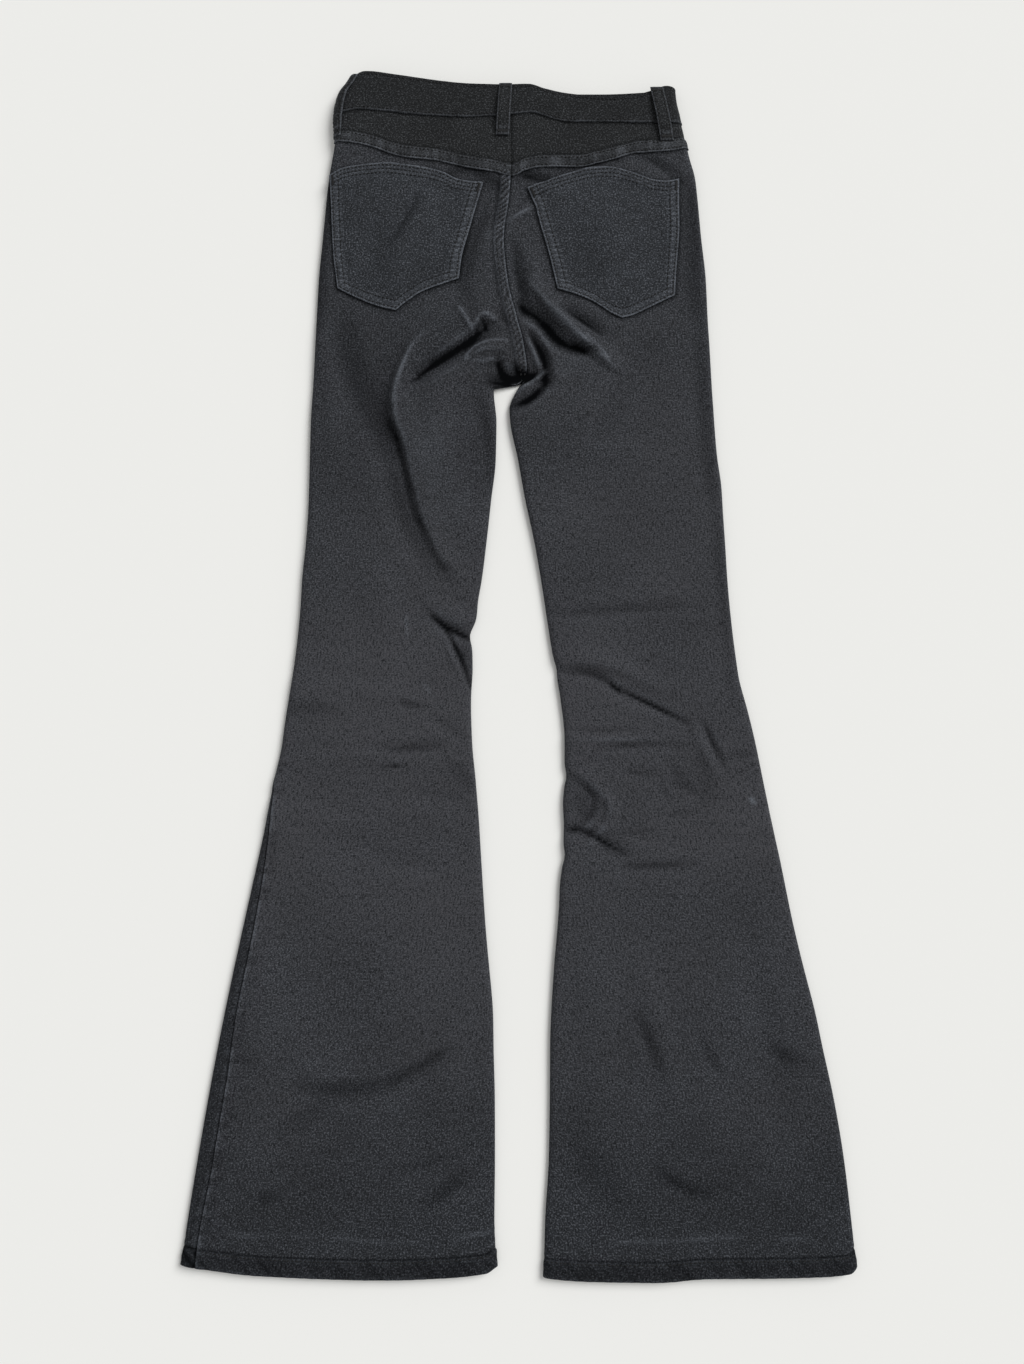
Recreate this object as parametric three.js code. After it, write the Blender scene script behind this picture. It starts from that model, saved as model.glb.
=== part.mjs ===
import * as THREE from 'three';

// Flared jeans laid flat with the back facing up, in millimetres.
// X runs across, Y from the hems to the waist, Z up from the surface that the garment lies on.
// Left and right are the wearer's: left is at negative X.

// Cloth
const denim = 1.2;               // one layer of stretch denim
const hemCloth = 1.7;            // hem turned up twice
const hemDepth = 18;
const bandCloth = 2.4;           // waistband, doubled
const bandProud = 0.8;           // waistband stands out from the panels it holds
const patchGap = 0.65;           // air between a patch and the panel that it is sewn on
const seamGap = 0.3;             // air between two pieces at a seam
const layerGap = 0.5;            // air between two layers that lie on each other

// How the flattened tube is rounded at its edges
const topRound = 6;              // reach of the rounding on the upper layer
const lowRound = 3;              // reach of the rounding on the lower layer
const crotchTop = 262;           // above this height the seat seam runs on top, in the open cloth
const crotchLow = 243;           // below this height each leg is a tube of its own

// Front of the garment, which lies underneath
const restRise = 2.9;            // the front hip lies this high, on its belt loops and button
const restFlat = 486;            // from this height up it is at its full rise
const restEnd = 385;             // below this height it lies on the surface
const scoopWidth = 92;           // front pocket opening, measured from the side seam
const scoopDepth = 74;
const facingReach = 14;          // the facing goes this far past the opening
const buttonLap = 30;            // button end of the waistband, behind the buttonhole end
const shieldWidth = 44;
const shieldLength = 150;

// Small pieces
const loopWidth = 12.8;
const loopCloth = 1.6;
const loopBelly = 2.2;           // room for a belt behind a loop
const frontLoopCloth = 1.8;
const frontLoopLength = 52;
const frontLoopPlace = 78;       // from the centre front
const buttonRadius = 8.5;
const buttonHeight = 1.8;
const mouthHem = 0.09;           // hemmed share of a back pocket's height
const mouthCloth = 0.8;          // what that hem adds to its thickness

// Outline of the laid garment. Above the crotch both inner edges are the seat seam.
const sections = table('y outerLeft innerLeft innerRight outerRight', [
  [560, -157, -7, -7, 153],
  [545, -165, -7, -7, 153.5],
  [533, -171.5, -7, -7, 154],
  [512, -175, -7, -7, 157.5],
  [491, -176.5, -6.5, -6.5, 162],
  [470, -179.5, -6.2, -6.2, 166.5],
  [450, -182.5, -7, -7, 171.5],
  [430, -184.5, -8.5, -8.5, 173.5],
  [389, -187.5, -13.5, -13.5, 176.5],
  [348, -190.5, -10, -10, 180],
  [308, -191.8, -1, -1, 181],
  [285, -192.5, 5, 5, 182],
  [256, -193.3, 8.5, 8.5, 183],
  [249, -193.5, 5.5, 5.5, 183.2],
  [244, -193.7, 0, 3, 183.4],
  [238, -193.9, -22.8, -1, 183.6],
  [228, -194.4, -22.2, -6, 184.1],
  [220, -194.8, -21.2, -8, 184.5],
  [208, -195.2, -20.2, -7.3, 185],
  [171, -195.4, -20.8, 0, 187],
  [132, -195.6, -25, 6.8, 190.5],
  [94, -197, -29, 14.8, 192.5],
  [56, -199.3, -33.6, 21.3, 194],
  [19, -201.6, -40, 26.8, 196.5],
  [-19, -205, -42.4, 32.5, 200.5],
  [-55, -209.8, -43.1, 38.8, 207.5],
  [-92, -215.2, -42, 42.3, 215.5],
  [-128, -220.9, -38.6, 42, 222],
  [-164, -227.2, -35.5, 41.5, 228.5],
  [-200, -234, -33.2, 40, 235.5],
  [-253, -244.5, -29.6, 35.6, 245],
  [-305, -254.6, -25.3, 31, 256],
  [-357, -264, -22.4, 28.2, 267],
  [-408, -272.3, -20.6, 27.6, 277],
  [-458, -279.8, -20.4, 26.5, 284],
  [-508, -286.6, -20.8, 23.2, 288.5],
  [-558, -292.6, -17.6, 21.8, 292.4],
]);

// Edges and seams that run across, as y over x.
const bandTop = curve('x', 'y', table('x y', [
  [-160, 555.5], [-147, 558], [-117, 554.2], [-76, 548], [-48, 545], [-12, 544], [10, 544.6], [27, 539.6],
  [46, 535], [71, 532.6], [96, 531.6], [114, 533], [129, 537.5], [145, 542.8], [154, 542],
]));
const bandSeam = curve('x', 'y', table('x y', [
  [-175, 515], [-153, 518.5], [-130, 517], [-108, 514], [-82, 512], [-52, 510.8], [-20, 512], [-4, 513.6],
  [14, 515.2], [25, 512], [37, 507.6], [48, 505.4], [80, 505.4], [114, 504.7], [158, 504.6],
]));
const yokeSeam = curve('x', 'y', table('x y', [
  [-178, 486], [-157, 483.5], [-143, 480.4], [-124, 473.6], [-110, 470], [-82, 466.4], [-48, 459],
  [-21, 454.7], [-6, 451], [7, 456.7], [23, 459.8], [59, 459.8], [78, 464], [98, 469], [118, 474],
  [145, 475.3], [165, 479],
]));
const frontBandSeam = curve('x', 'y', table('x y', [
  [-175, 515], [-90, 506], [-7, 501], [80, 500], [158, 504.6],
]));
const frontBandTop = curve('x', 'y', table('x y', [
  [-162, 554], [-90, 544], [-7, 538.5], [80, 538], [154, 542],
]));
const hemLine = curve('x', 'y', table('x y', [
  [-292, -543.5], [-262, -548], [-221, -552.4], [-116, -555.7], [-63, -554], [-28, -550.3], [-18, -545.5],
  [24, -554.2], [62, -556.9], [119, -557.7], [164, -554.6], [218, -554.2], [262, -553], [284, -551],
  [293, -544],
]));

// How far the left side seam has rolled up onto the top, measured round the edge.
const seamRoll = curve('y', 'roll', table('y roll', [
  [-560, 17], [-520, 16], [-461, 18], [-393, 17.5], [-323, 14.5], [-283, 14.5], [-223, 12.5],
  [-153, 6.5], [-110, 0],
]));

// Height of the upper layer over the surface, before its folds, and the lowest that a fold may press it.
const loft = curve('y', 'height', table('y height', [
  [-560, 6.6], [-500, 6.1], [150, 6.2], [385, 6.4], [440, 8], [486, 9.4], [560, 9.6],
]));
const pressed = curve('y', 'height', table('y height', [
  [-560, 5.8], [-530, 5.8], [-512, 3.3], [300, 3.3], [395, 4.4], [440, 6.5], [486, 8.6], [560, 9],
]));
const seamHeight = curve('y', 'height', table('y height', [
  [-560, 3.2], [400, 3.2], [480, 4.9], [560, 5.1],
]));

// Folds of the upper layer: a curve through three points, half its width, and its height, which is
// negative for a trough.
const folds = table('fromX fromY viaX viaY toX toY halfWidth height', [
  [-32, 300, -60, 282, -92, 257, 17, -5],       // left seat, deep trough
  [-50, 272, -30, 284, -5, 284, 13, 4.6],       // ridge under it
  [-93, 282, -111, 227, -99, 168, 15, 6.5],     // left thigh, main ridge
  [-101, 172, -87, 122, -64, 68, 15, 4.4],
  [-124, 268, -131, 220, -118, 160, 17, -3.6],  // trough beside it
  [-118, 162, -105, 120, -84, 75, 15, -2.4],
  [-168, 292, -146, 238, -116, 172, 18, -3.4],
  [-1, 313, 28, 288, 64, 268, 15, -4.6],        // right seat, trough
  [16, 327, 43, 303, 86, 259, 15, 5.6],         // right seat, ridge
  [41, 318, 62, 311, 84, 297, 11, -2],
  [135, 294, 92, 272, 58, 212, 20, 3.2],
  [-24, 262, -2, 256, 18, 262, 13, -3.4],       // hollow over the crotch
  [32, 264, 16, 251, 2, 232, 11, 3.6],
  [24, 284, 28, 256, 22, 226, 10, -2.6],
  [-78, 20, -60, 11, -42, 1, 13, -2.6],         // left knee
  [-70, 14, -52, -18, -42, -44, 12, -2.4],
  [-143, -98, -106, -99, -70, -97, 14, -1.8],
  [30, 20, 94, 26, 164, 29, 11, -1.9],          // right knee
  [37, -33, 92, -46, 152, -76, 12, -2.6],
  [170, -78, 178, -96, 186, -116, 11, -2],
  [44, -84, 76, -84, 108, -85, 12, -1.8],
  [70, -99, 106, -98, 142, -99, 11, -1.6],
  [43, -124, 64, -150, 45, -177, 15, -2.6],
  [45, -175, 70, -181, 96, -195, 12, -2.2],
  [96, -207, 126, -206, 157, -203, 12, -1.7],
  [-194, -398, -130, -394, -64, -366, 15, -2.2], // left calf
  [-78, -494, -57, -482, -38, -470, 12, -1.6],
  [105, -336, 115, -360, 123, -386, 12, -1.7],  // right calf
  [122, -463, 144, -481, 178, -480, 12, -1.7],
]);

// Back pockets: corners in the panel's plane, from the outer to the inner side.
const pockets = {
  left: {
    mouth: [[-177, 450], [-120, 462.5], [-34, 444]],
    foot: [[-171.5, 337.5], [-116.3, 315.7], [-56.5, 347]],
  },
  right: {
    mouth: [[155.4, 447.5], [84, 460], [9.2, 439]],
    foot: [[149.5, 331], [98.8, 307.2], [37.7, 336]],
  },
};

// Belt loops on the back: middle of the top end and of the bottom end.
const backLoops = table('topX topY lowX lowY', [
  [-11.7, 543, -14.8, 493],
  [134.5, 538, 144.2, 487],
]);
const edgeLoop = { topY: 552, lowY: 491, roundFrom: -1.2 };   // the one on the left edge, bent round it

const sides = ['left', 'right'];
const inward = { left: 1, right: -1 };

const materials = {
  denim: () => cloth(0x2d2f33, 0.92),
  denimDark: () => cloth(0x26282c, 0.94),
  denimWorn: () => cloth(0x34363b, 0.9),
  facing: () => cloth(0x2b2d31, 0.93),
  tackMetal: () => new THREE.MeshStandardMaterial({ color: 0x8d8a84, roughness: 0.38, metalness: 0.9 }),
};

function cloth(color, roughness) {
  return new THREE.MeshStandardMaterial({ color, roughness, metalness: 0 });
}

function table(columns, rows) {
  const names = columns.split(' ');
  return rows.map((row) => Object.fromEntries(names.map((name, place) => [name, row[place]])));
}

function clamp01(value) {
  return Math.min(1, Math.max(0, value));
}

function smooth(value) {
  const share = clamp01(value);
  return share * share * (3 - 2 * share);
}

function lerp(from, to, share) {
  return from + (to - from) * share;
}

// A smooth curve through a table's rows that never swings past them.
function curve(key, name, rows) {
  const sorted = [...rows].sort((a, b) => a[key] - b[key]);
  const at = sorted.map((row) => row[key]);
  const values = sorted.map((row) => row[name]);
  const chords = at.slice(1).map((next, k) => (values[k + 1] - values[k]) / (next - at[k]));
  const slopes = values.map((_, k) => {
    const before = chords[k - 1] ?? chords[k];
    const after = chords[k] ?? chords[k - 1];
    return before * after > 0 ? (2 * before * after) / (before + after) : 0;
  });
  return (place) => {
    const x = Math.min(at[at.length - 1], Math.max(at[0], place));
    const k = Math.max(0, at.findIndex((end, index) => index > 0 && x <= end) - 1);
    const step = at[k + 1] - at[k];
    const t = (x - at[k]) / step;
    const rise = t * t * (3 - 2 * t);
    const lead = t * (1 - t) * (1 - t) * slopes[k];
    const trail = t * t * (1 - t) * slopes[k + 1];
    return values[k] + (values[k + 1] - values[k]) * rise + step * (lead - trail);
  };
}

const outerEdge = { left: curve('y', 'outerLeft', sections), right: curve('y', 'outerRight', sections) };
const innerEdge = { left: curve('y', 'innerLeft', sections), right: curve('y', 'innerRight', sections) };

// A fold's own points, along a bow through its three points.
const foldSteps = 14;
const foldPaths = folds.map((fold) => {
  const bendX = 2 * fold.viaX - (fold.fromX + fold.toX) / 2;
  const bendY = 2 * fold.viaY - (fold.fromY + fold.toY) / 2;
  return Array.from({ length: foldSteps + 1 }, (_, k) => {
    const t = k / foldSteps;
    return {
      x: (1 - t) ** 2 * fold.fromX + 2 * t * (1 - t) * bendX + t * t * fold.toX,
      y: (1 - t) ** 2 * fold.fromY + 2 * t * (1 - t) * bendY + t * t * fold.toY,
      fade: Math.sin(Math.PI * lerp(0.16, 0.84, t)),
    };
  });
});

function foldHeight(x, y) {
  let height = 0;
  folds.forEach((fold, k) => {
    let nearest = Infinity;
    let fade = 0;
    for (const point of foldPaths[k]) {
      const distance = Math.hypot(point.x - x, point.y - y);
      if (distance < nearest) {
        nearest = distance;
        fade = point.fade;
      }
    }
    const share = 1 - (nearest / fold.halfWidth) ** 2;
    if (share > 0) height += fold.height * fade * share * share;
  });
  return height;
}

// Height of the upper layer, and of the lower one.
function upperHeight(x, y) {
  const free = loft(y) + foldHeight(x, y);
  const floor = pressed(y);
  return floor + Math.log1p(Math.exp((free - floor) * 1.6)) / 1.6;
}

function lowerHeight(y) {
  return restRise * smooth((y - restEnd) / (restFlat - restEnd));
}

// Share of the rounding that the inner edge has: all of it on the legs, none on the seat.
function legShare(y) {
  return 1 - smooth((y - crotchLow) / (crotchTop - crotchLow));
}

function ringLength(side, y, top) {
  const reach = top ? topRound : lowRound;
  const width = Math.abs(innerEdge[side](y) - outerEdge[side](y));
  return width + (Math.PI / 2 - 1) * reach * (1 + legShare(y));
}

// A point of one leg's or one half's flattened ring. The share is 0 at the outer edge, 1 at the inner
// edge over the top and -1 at the inner edge along the underside.
function ringPoint(side, share, y) {
  const top = share >= 0;
  const reach = top ? topRound : lowRound;
  const length = ringLength(side, y, top);
  const along = Math.abs(share) * length;
  const width = Math.abs(innerEdge[side](y) - outerEdge[side](y));
  const arc = (reach * Math.PI) / 2;
  const round = legShare(y);
  const innerArc = reach * (1 + (Math.PI / 2 - 1) * round);
  let depth = reach + (along - arc);
  let rise = 1;
  if (along < arc) {
    depth = reach * (1 - Math.cos(along / reach));
    rise = Math.sin(along / reach);
  }
  const left = length - along;
  if (left < innerArc) {
    const turn = (left / innerArc) * (Math.PI / 2);
    const inside = lerp((reach * left) / innerArc, reach * (1 - Math.cos(turn)), round);
    depth = width - inside;
    rise *= 1 - round * (1 - Math.sin(turn));
  }
  const x = outerEdge[side](y) + inward[side] * depth;
  const edge = seamHeight(y);
  const flat = top ? upperHeight(x, y) : lowerHeight(y);
  return new THREE.Vector3(x, y, edge + (flat - edge) * rise);
}

// The same point moved out of the cloth, along the way that the ring faces there.
function skin(side, share, y, out = 0) {
  const step = 0.3 / ringLength(side, y, share >= 0);
  const ahead = ringPoint(side, Math.min(1, share + step), y);
  const behind = ringPoint(side, Math.max(-1, share - step), y);
  const up = ringPoint(side, share, y + 0.8);
  const down = ringPoint(side, share, y - 0.8);
  const facing = new THREE.Vector3().crossVectors(ahead.sub(behind), up.sub(down));
  facing.normalize().multiplyScalar(inward[side] * out);
  return ringPoint(side, share, y).add(facing);
}

// Share of the upper ring at a given x.
function shareAt(side, x, y) {
  const depth = Math.abs(x - outerEdge[side](y));
  const along = depth < topRound
    ? topRound * Math.acos(1 - depth / topRound)
    : depth + topRound * (Math.PI / 2 - 1);
  return along / ringLength(side, y, true);
}

function topSkin(x, y, out) {
  const side = x < innerEdge.left(y) ? 'left' : 'right';
  return skin(side, shareAt(side, x, y), y, out);
}

// A closed wall between two grids of points.
function wall(columns, rows, outerAt, innerAt) {
  const positions = [];
  const stride = columns + 1;
  const layer = stride * (rows + 1);
  for (const pointAt of [outerAt, innerAt]) {
    for (let row = 0; row <= rows; row += 1) {
      for (let column = 0; column <= columns; column += 1) {
        positions.push(...pointAt(column, row).toArray());
      }
    }
  }
  const indices = [];
  const quad = (a, b, c, d) => indices.push(a, b, c, a, c, d);
  const at = (column, row) => row * stride + column;
  for (let row = 0; row < rows; row += 1) {
    for (let column = 0; column < columns; column += 1) {
      const corners = [at(column, row), at(column + 1, row), at(column + 1, row + 1), at(column, row + 1)];
      quad(...corners);
      quad(...corners.reverse().map((corner) => corner + layer));
    }
  }
  const rim = [];
  for (let column = 0; column < columns; column += 1) rim.push(at(column, 0));
  for (let row = 0; row < rows; row += 1) rim.push(at(columns, row));
  for (let column = columns; column > 0; column -= 1) rim.push(at(column, rows));
  for (let row = rows; row > 0; row -= 1) rim.push(at(0, row));
  rim.forEach((corner, place) => {
    const next = rim[(place + 1) % rim.length];
    quad(next, corner, corner + layer, next + layer);
  });
  return facingOut(positions, indices);
}

function facingOut(positions, indices) {
  const corner = (index) => new THREE.Vector3().fromArray(positions, 3 * index);
  let volume = 0;
  for (let k = 0; k < indices.length; k += 3) {
    volume += corner(indices[k]).dot(corner(indices[k + 1]).cross(corner(indices[k + 2])));
  }
  const geometry = new THREE.BufferGeometry();
  geometry.setAttribute('position', new THREE.Float32BufferAttribute(positions, 3));
  geometry.setIndex(volume > 0 ? indices : [...indices].reverse());
  geometry.computeVertexNormals();
  return geometry;
}

// A panel of one ring: shares across, a row function for y, and the cloth's thickness at each row.
function ringPanel(side, columnShares, rowCount, yAt, thicknessAt, out = 0) {
  const placed = new Map();
  const place = (column, row) => {
    const key = row * columnShares.length + column;
    if (!placed.has(key)) {
      let y = yAt(row, outerEdge[side](0), 0);
      let share = 0;
      for (let pass = 0; pass < 6; pass += 1) {
        share = columnShares[column](y);
        y = yAt(row, ringPoint(side, share, y).x, share);
      }
      placed.set(key, { share: columnShares[column](y), y });
    }
    return placed.get(key);
  };
  const pointAt = (column, row, move) => {
    const { share, y } = place(column, row);
    return skin(side, share, y, move);
  };
  return wall(
    columnShares.length - 1,
    rowCount,
    (column, row) => pointAt(column, row, out),
    (column, row) => pointAt(column, row, out - thicknessAt(row)),
  );
}

// Columns between two places on the ring, in millimetres from its ends, close together near the edges.
function topColumns(side, startAt, middle, edges = [0, 3.2, 6.4, 9.6]) {
  const columns = edges.map((edge) => (y) => (startAt(y) + edge) / ringLength(side, y, true));
  const lastEdge = edges[edges.length - 1];
  for (let k = 1; k < middle; k += 1) {
    columns.push((y) => {
      const length = ringLength(side, y, true);
      return lerp(startAt(y) + lastEdge, length - lastEdge, k / middle) / length;
    });
  }
  for (const edge of [...edges].reverse()) {
    columns.push((y) => {
      const length = ringLength(side, y, true);
      return (length - edge - seamGap / 2) / length;
    });
  }
  return columns;
}

function lowColumns(side, middle, roll, turns) {
  const edges = [0, 2.4, 4.8];
  const lastEdge = edges[edges.length - 1];
  const columns = edges.map((edge) => (y) => {
    const length = ringLength(side, y, false);
    return -(length - edge - seamGap / 2) / length;
  });
  for (let k = 1; k < middle; k += 1) {
    columns.push((y) => {
      const length = ringLength(side, y, false);
      return -lerp(length - lastEdge, 5, k / middle) / length;
    });
  }
  for (let k = 0; k <= turns; k += 1) {
    columns.push((y) => {
      const along = lerp(-5, roll(y) - seamGap / 2, k / turns);
      return along / ringLength(side, y, along >= 0);
    });
  }
  return columns;
}

// Heights of a leg panel's rows. Front and back share them up to the crotch, where their seams meet.
const panelColumns = 8;          // between the rounded edges of an upper panel
const legFoot = -552;
const legStep = 28;
const seatStep = 12.5;
const thigh = 150;
const gapTop = 238;              // the gap between the legs ends just above this height
const gapClosed = 244;
const sharedTop = 262.5;

function evenRows(from, to, step) {
  const count = Math.round((to - from) / step);
  return Array.from({ length: count }, (_, k) => lerp(from, to, (k + 1) / count));
}

function legRows(high, upperStep) {
  const hemTop = legFoot + hemDepth;
  return [
    legFoot, hemTop, hemTop + 0.8,
    ...evenRows(hemTop + 0.8, thigh, legStep),
    ...evenRows(thigh, gapTop, seatStep),
    ...evenRows(gapTop, gapClosed, 3),
    ...evenRows(gapClosed, sharedTop, seatStep),
    ...evenRows(sharedTop, high, upperStep),
  ];
}

// Rows between the hem and an upper edge: level in the middle, bent along both edges.
function bentRow(level, x, high, upperEdge) {
  const toTop = smooth((level - (high - 190)) / 190);
  const toHem = smooth((legFoot + 90 - level) / 90);
  return level + toTop * (upperEdge(x) - high) + toHem * (hemLine(x) - legFoot);
}

function hemThickness(rows) {
  return (row) => (rows[row] <= rows[1] ? hemCloth : denim);
}

function backLeg(side) {
  const high = 466;
  const rows = legRows(high, seatStep);
  const start = side === 'left' ? (y) => seamRoll(y) + seamGap / 2 : () => seamGap / 2;
  const columns = topColumns(side, start, panelColumns);
  const edge = (x) => yokeSeam(x) - seamGap / 2;
  const yAt = (row, x) => bentRow(rows[row], x, high, edge);
  return ringPanel(side, columns, rows.length - 1, yAt, hemThickness(rows));
}

// What the pocket opening takes off the front's upper edge.
function scoop(fromOuter, width, depth) {
  const share = Math.min(1, fromOuter / width);
  return depth * Math.sqrt(1 - share * share);
}

function frontLeg(side) {
  const high = 500;
  const rows = legRows(high, 22);
  const rolled = side === 'left';
  const columns = lowColumns(side, 5, rolled ? seamRoll : () => 0, rolled ? 6 : 3);
  const yAt = (row, x) => {
    const fromOuter = Math.abs(x - outerEdge[side](rows[row]));
    const edge = () => frontBandSeam(x) - seamGap / 2 - scoop(fromOuter, scoopWidth, scoopDepth);
    return bentRow(rows[row], x, high, edge);
  };
  return ringPanel(side, columns, rows.length - 1, yAt, hemThickness(rows));
}

function yoke(side) {
  const rowCount = 3;
  const columns = topColumns(side, () => seamGap / 2, panelColumns);
  const yAt = (row, x) => lerp(yokeSeam(x) + seamGap / 2, bandSeam(x) - seamGap / 2, row / rowCount);
  return ringPanel(side, columns, rowCount, yAt, () => denim);
}

// The waistband is one strip, from the buttonhole end round the back to the button end.
function waistband() {
  const stations = [];
  const add = (side, shareAt, out = bandProud) => stations.push({ side, shareAt, out });
  const fromEdge = (side, along) => (y) => along / ringLength(side, y, along >= 0);
  const fromCentre = (side, along) => (y) => along / ringLength(side, y, false) - 1;
  const underEdge = [9, 4.8, 2.4];
  const underSteps = 5;
  const layered = bandProud - bandCloth - layerGap;
  const across = (share, start) => (y) => -lerp(1 - start / 178, 0.14, share);

  for (let k = 0; k < underSteps; k += 1) add('left', across(k / underSteps, seamGap / 2));
  for (const along of underEdge) add('left', fromEdge('left', -along));
  const leftTop = topColumns('left', () => 0, panelColumns);
  const rightTop = topColumns('right', () => 0, panelColumns);
  for (const shareAt of leftTop.slice(0, -1)) add('left', shareAt);
  add('left', () => 1);
  for (const shareAt of rightTop.slice(0, -1).reverse()) add('right', shareAt);
  for (const along of [...underEdge].reverse()) add('right', fromEdge('right', -along));
  for (let k = underSteps - 1; k >= 0; k -= 1) add('right', across(k / underSteps, 14));
  add('right', fromCentre('right', 3), layered);
  add('left', fromCentre('left', 4), layered);
  add('left', fromCentre('left', buttonLap), layered);

  const rowCount = 3;
  const place = ({ side, shareAt }, row) => {
    let y = 530;
    for (let pass = 0; pass < 8; pass += 1) {
      const share = shareAt(y);
      const { x } = ringPoint(side, share, y);
      const seam = share < 0 ? frontBandSeam(x) : bandSeam(x);
      const edge = share < 0 ? frontBandTop(x) : bandTop(x);
      y = lerp(seam + seamGap / 2, edge, row / rowCount);
    }
    return y;
  };
  const pointAt = (column, row, inside) => {
    const station = stations[column];
    const y = place(station, row);
    return skin(station.side, station.shareAt(y), y, station.out - inside);
  };
  return wall(
    stations.length - 1,
    rowCount,
    (column, row) => pointAt(column, row, 0),
    (column, row) => pointAt(column, row, bandCloth),
  );
}

function backPocket(side) {
  const { mouth, foot } = pockets[side];
  const columns = 10;
  const rowShares = [0, mouthHem, mouthHem + 0.01, 0.22, 0.36, 0.5, 0.64, 0.78, 0.9, 1];
  const bow = (points, share, axis) => {
    const middle = 2 * points[1][axis] - (points[0][axis] + points[2][axis]) / 2;
    const ends = (1 - share) ** 2 * points[0][axis] + share ** 2 * points[2][axis];
    return ends + 2 * share * (1 - share) * middle;
  };
  const straight = (points, share, axis) => (share < 0.5
    ? lerp(points[0][axis], points[1][axis], share * 2)
    : lerp(points[1][axis], points[2][axis], share * 2 - 1));
  const pointAt = (column, row, out) => {
    const share = column / columns;
    const along = (axis) => lerp(bow(mouth, share, axis), straight(foot, share, axis), rowShares[row]);
    return topSkin(along(0), along(1), out);
  };
  const thickness = (row) => denim + (rowShares[row] <= mouthHem ? mouthCloth : 0);
  return wall(
    columns,
    rowShares.length - 1,
    (column, row) => pointAt(column, row, patchGap + thickness(row)),
    (column, row) => pointAt(column, row, patchGap),
  );
}

// How far a back loop's inner face stands off: tacked at both ends, free for a belt between them.
function loopStand(share, tackedLow) {
  const ends = Math.sin(Math.PI * clamp01((share - 0.08) / 0.84));
  return lerp(bandProud + patchGap, tackedLow, smooth((share - 0.72) / 0.2)) + loopBelly * ends;
}

const loopRows = 9;

function backLoop({ topX, topY, lowX, lowY }) {
  const pointAt = (column, row, out) => {
    const share = row / loopRows;
    const x = lerp(topX, lowX, share) + (column / 2 - 0.5) * loopWidth;
    return topSkin(x, lerp(topY, lowY, share), loopStand(share, patchGap) + out);
  };
  return wall(2, loopRows, (c, r) => pointAt(c, r, loopCloth), (c, r) => pointAt(c, r, 0));
}

function loopOnEdge() {
  const columns = 5;
  const pointAt = (column, row, out) => {
    const share = row / loopRows;
    const y = lerp(edgeLoop.topY, edgeLoop.lowY, share);
    const along = edgeLoop.roundFrom + (column / columns) * loopWidth;
    const ring = along / ringLength('left', y, along >= 0);
    return skin('left', ring, y, loopStand(share, patchGap) * 0.6 + 0.5 + out);
  };
  return wall(columns, loopRows, (c, r) => pointAt(c, r, loopCloth), (c, r) => pointAt(c, r, 0));
}

// A front loop lies flat between the surface and the waistband that rests on it.
function frontLoop(side) {
  const middle = innerEdge[side](520) - inward[side] * frontLoopPlace;
  const top = frontBandTop(middle) - 1;
  const bevel = 0.5;
  const pointAt = (column, row, height, inset) => new THREE.Vector3(
    middle + (column - 0.5) * (loopWidth - 2 * inset),
    top - inset - row * (frontLoopLength - 2 * inset),
    height,
  );
  return wall(
    1,
    1,
    (column, row) => pointAt(column, row, 0, 0),
    (column, row) => pointAt(column, row, frontLoopCloth, bevel),
  );
}

function pocketFacing(side) {
  const columnCount = 9;
  const rowCount = 4;
  const reach = scoopWidth + 8;
  const out = -(denim + layerGap);
  const columns = Array.from({ length: columnCount + 1 }, (_, k) => (y) => {
    const share = (k / columnCount) ** 1.35;
    return -lerp(seamGap / 2, reach, share) / ringLength(side, y, false);
  });
  const yAt = (row, x) => {
    const fromOuter = Math.abs(x - outerEdge[side](460));
    const seam = frontBandSeam(x) - seamGap / 2;
    const foot = seam - scoop(fromOuter, scoopWidth + 2 * facingReach, scoopDepth + facingReach);
    return lerp(foot, seam, row / rowCount);
  };
  return ringPanel(side, columns, rowCount, yAt, () => denim, out);
}

// The shield lies behind the fly, over the centre front seam.
function flyShield() {
  const columns = 2;
  const rows = 6;
  const top = frontBandSeam(innerEdge.left(500)) - 2;
  const pointAt = (column, row, lift) => {
    const y = top - (row / rows) * shieldLength;
    const narrow = 1 - 0.35 * smooth((row / rows - 0.7) / 0.3);
    const x = innerEdge.left(y) + (column / columns - 0.5) * shieldWidth * narrow;
    return new THREE.Vector3(x, y, lowerHeight(y) + denim + layerGap + lift);
  };
  return wall(columns, rows, (c, r) => pointAt(c, r, denim), (c, r) => pointAt(c, r, 0));
}

// The button's round head, under the buttonhole end of the waistband.
function waistButton() {
  const edge = 0.5;
  const profile = [
    new THREE.Vector2(0, 0),
    new THREE.Vector2(buttonRadius - edge, 0),
    new THREE.Vector2(buttonRadius, edge),
    new THREE.Vector2(buttonRadius, buttonHeight - edge),
    new THREE.Vector2(buttonRadius - edge, buttonHeight),
    new THREE.Vector2(0, buttonHeight),
  ];
  const geometry = new THREE.LatheGeometry(profile, 20);
  geometry.rotateX(Math.PI / 2);
  return geometry;
}

const group = new THREE.Group();

function addPiece(name, geometry, material) {
  const mesh = new THREE.Mesh(geometry, material);
  mesh.name = name;
  group.add(mesh);
  return mesh;
}

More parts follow.
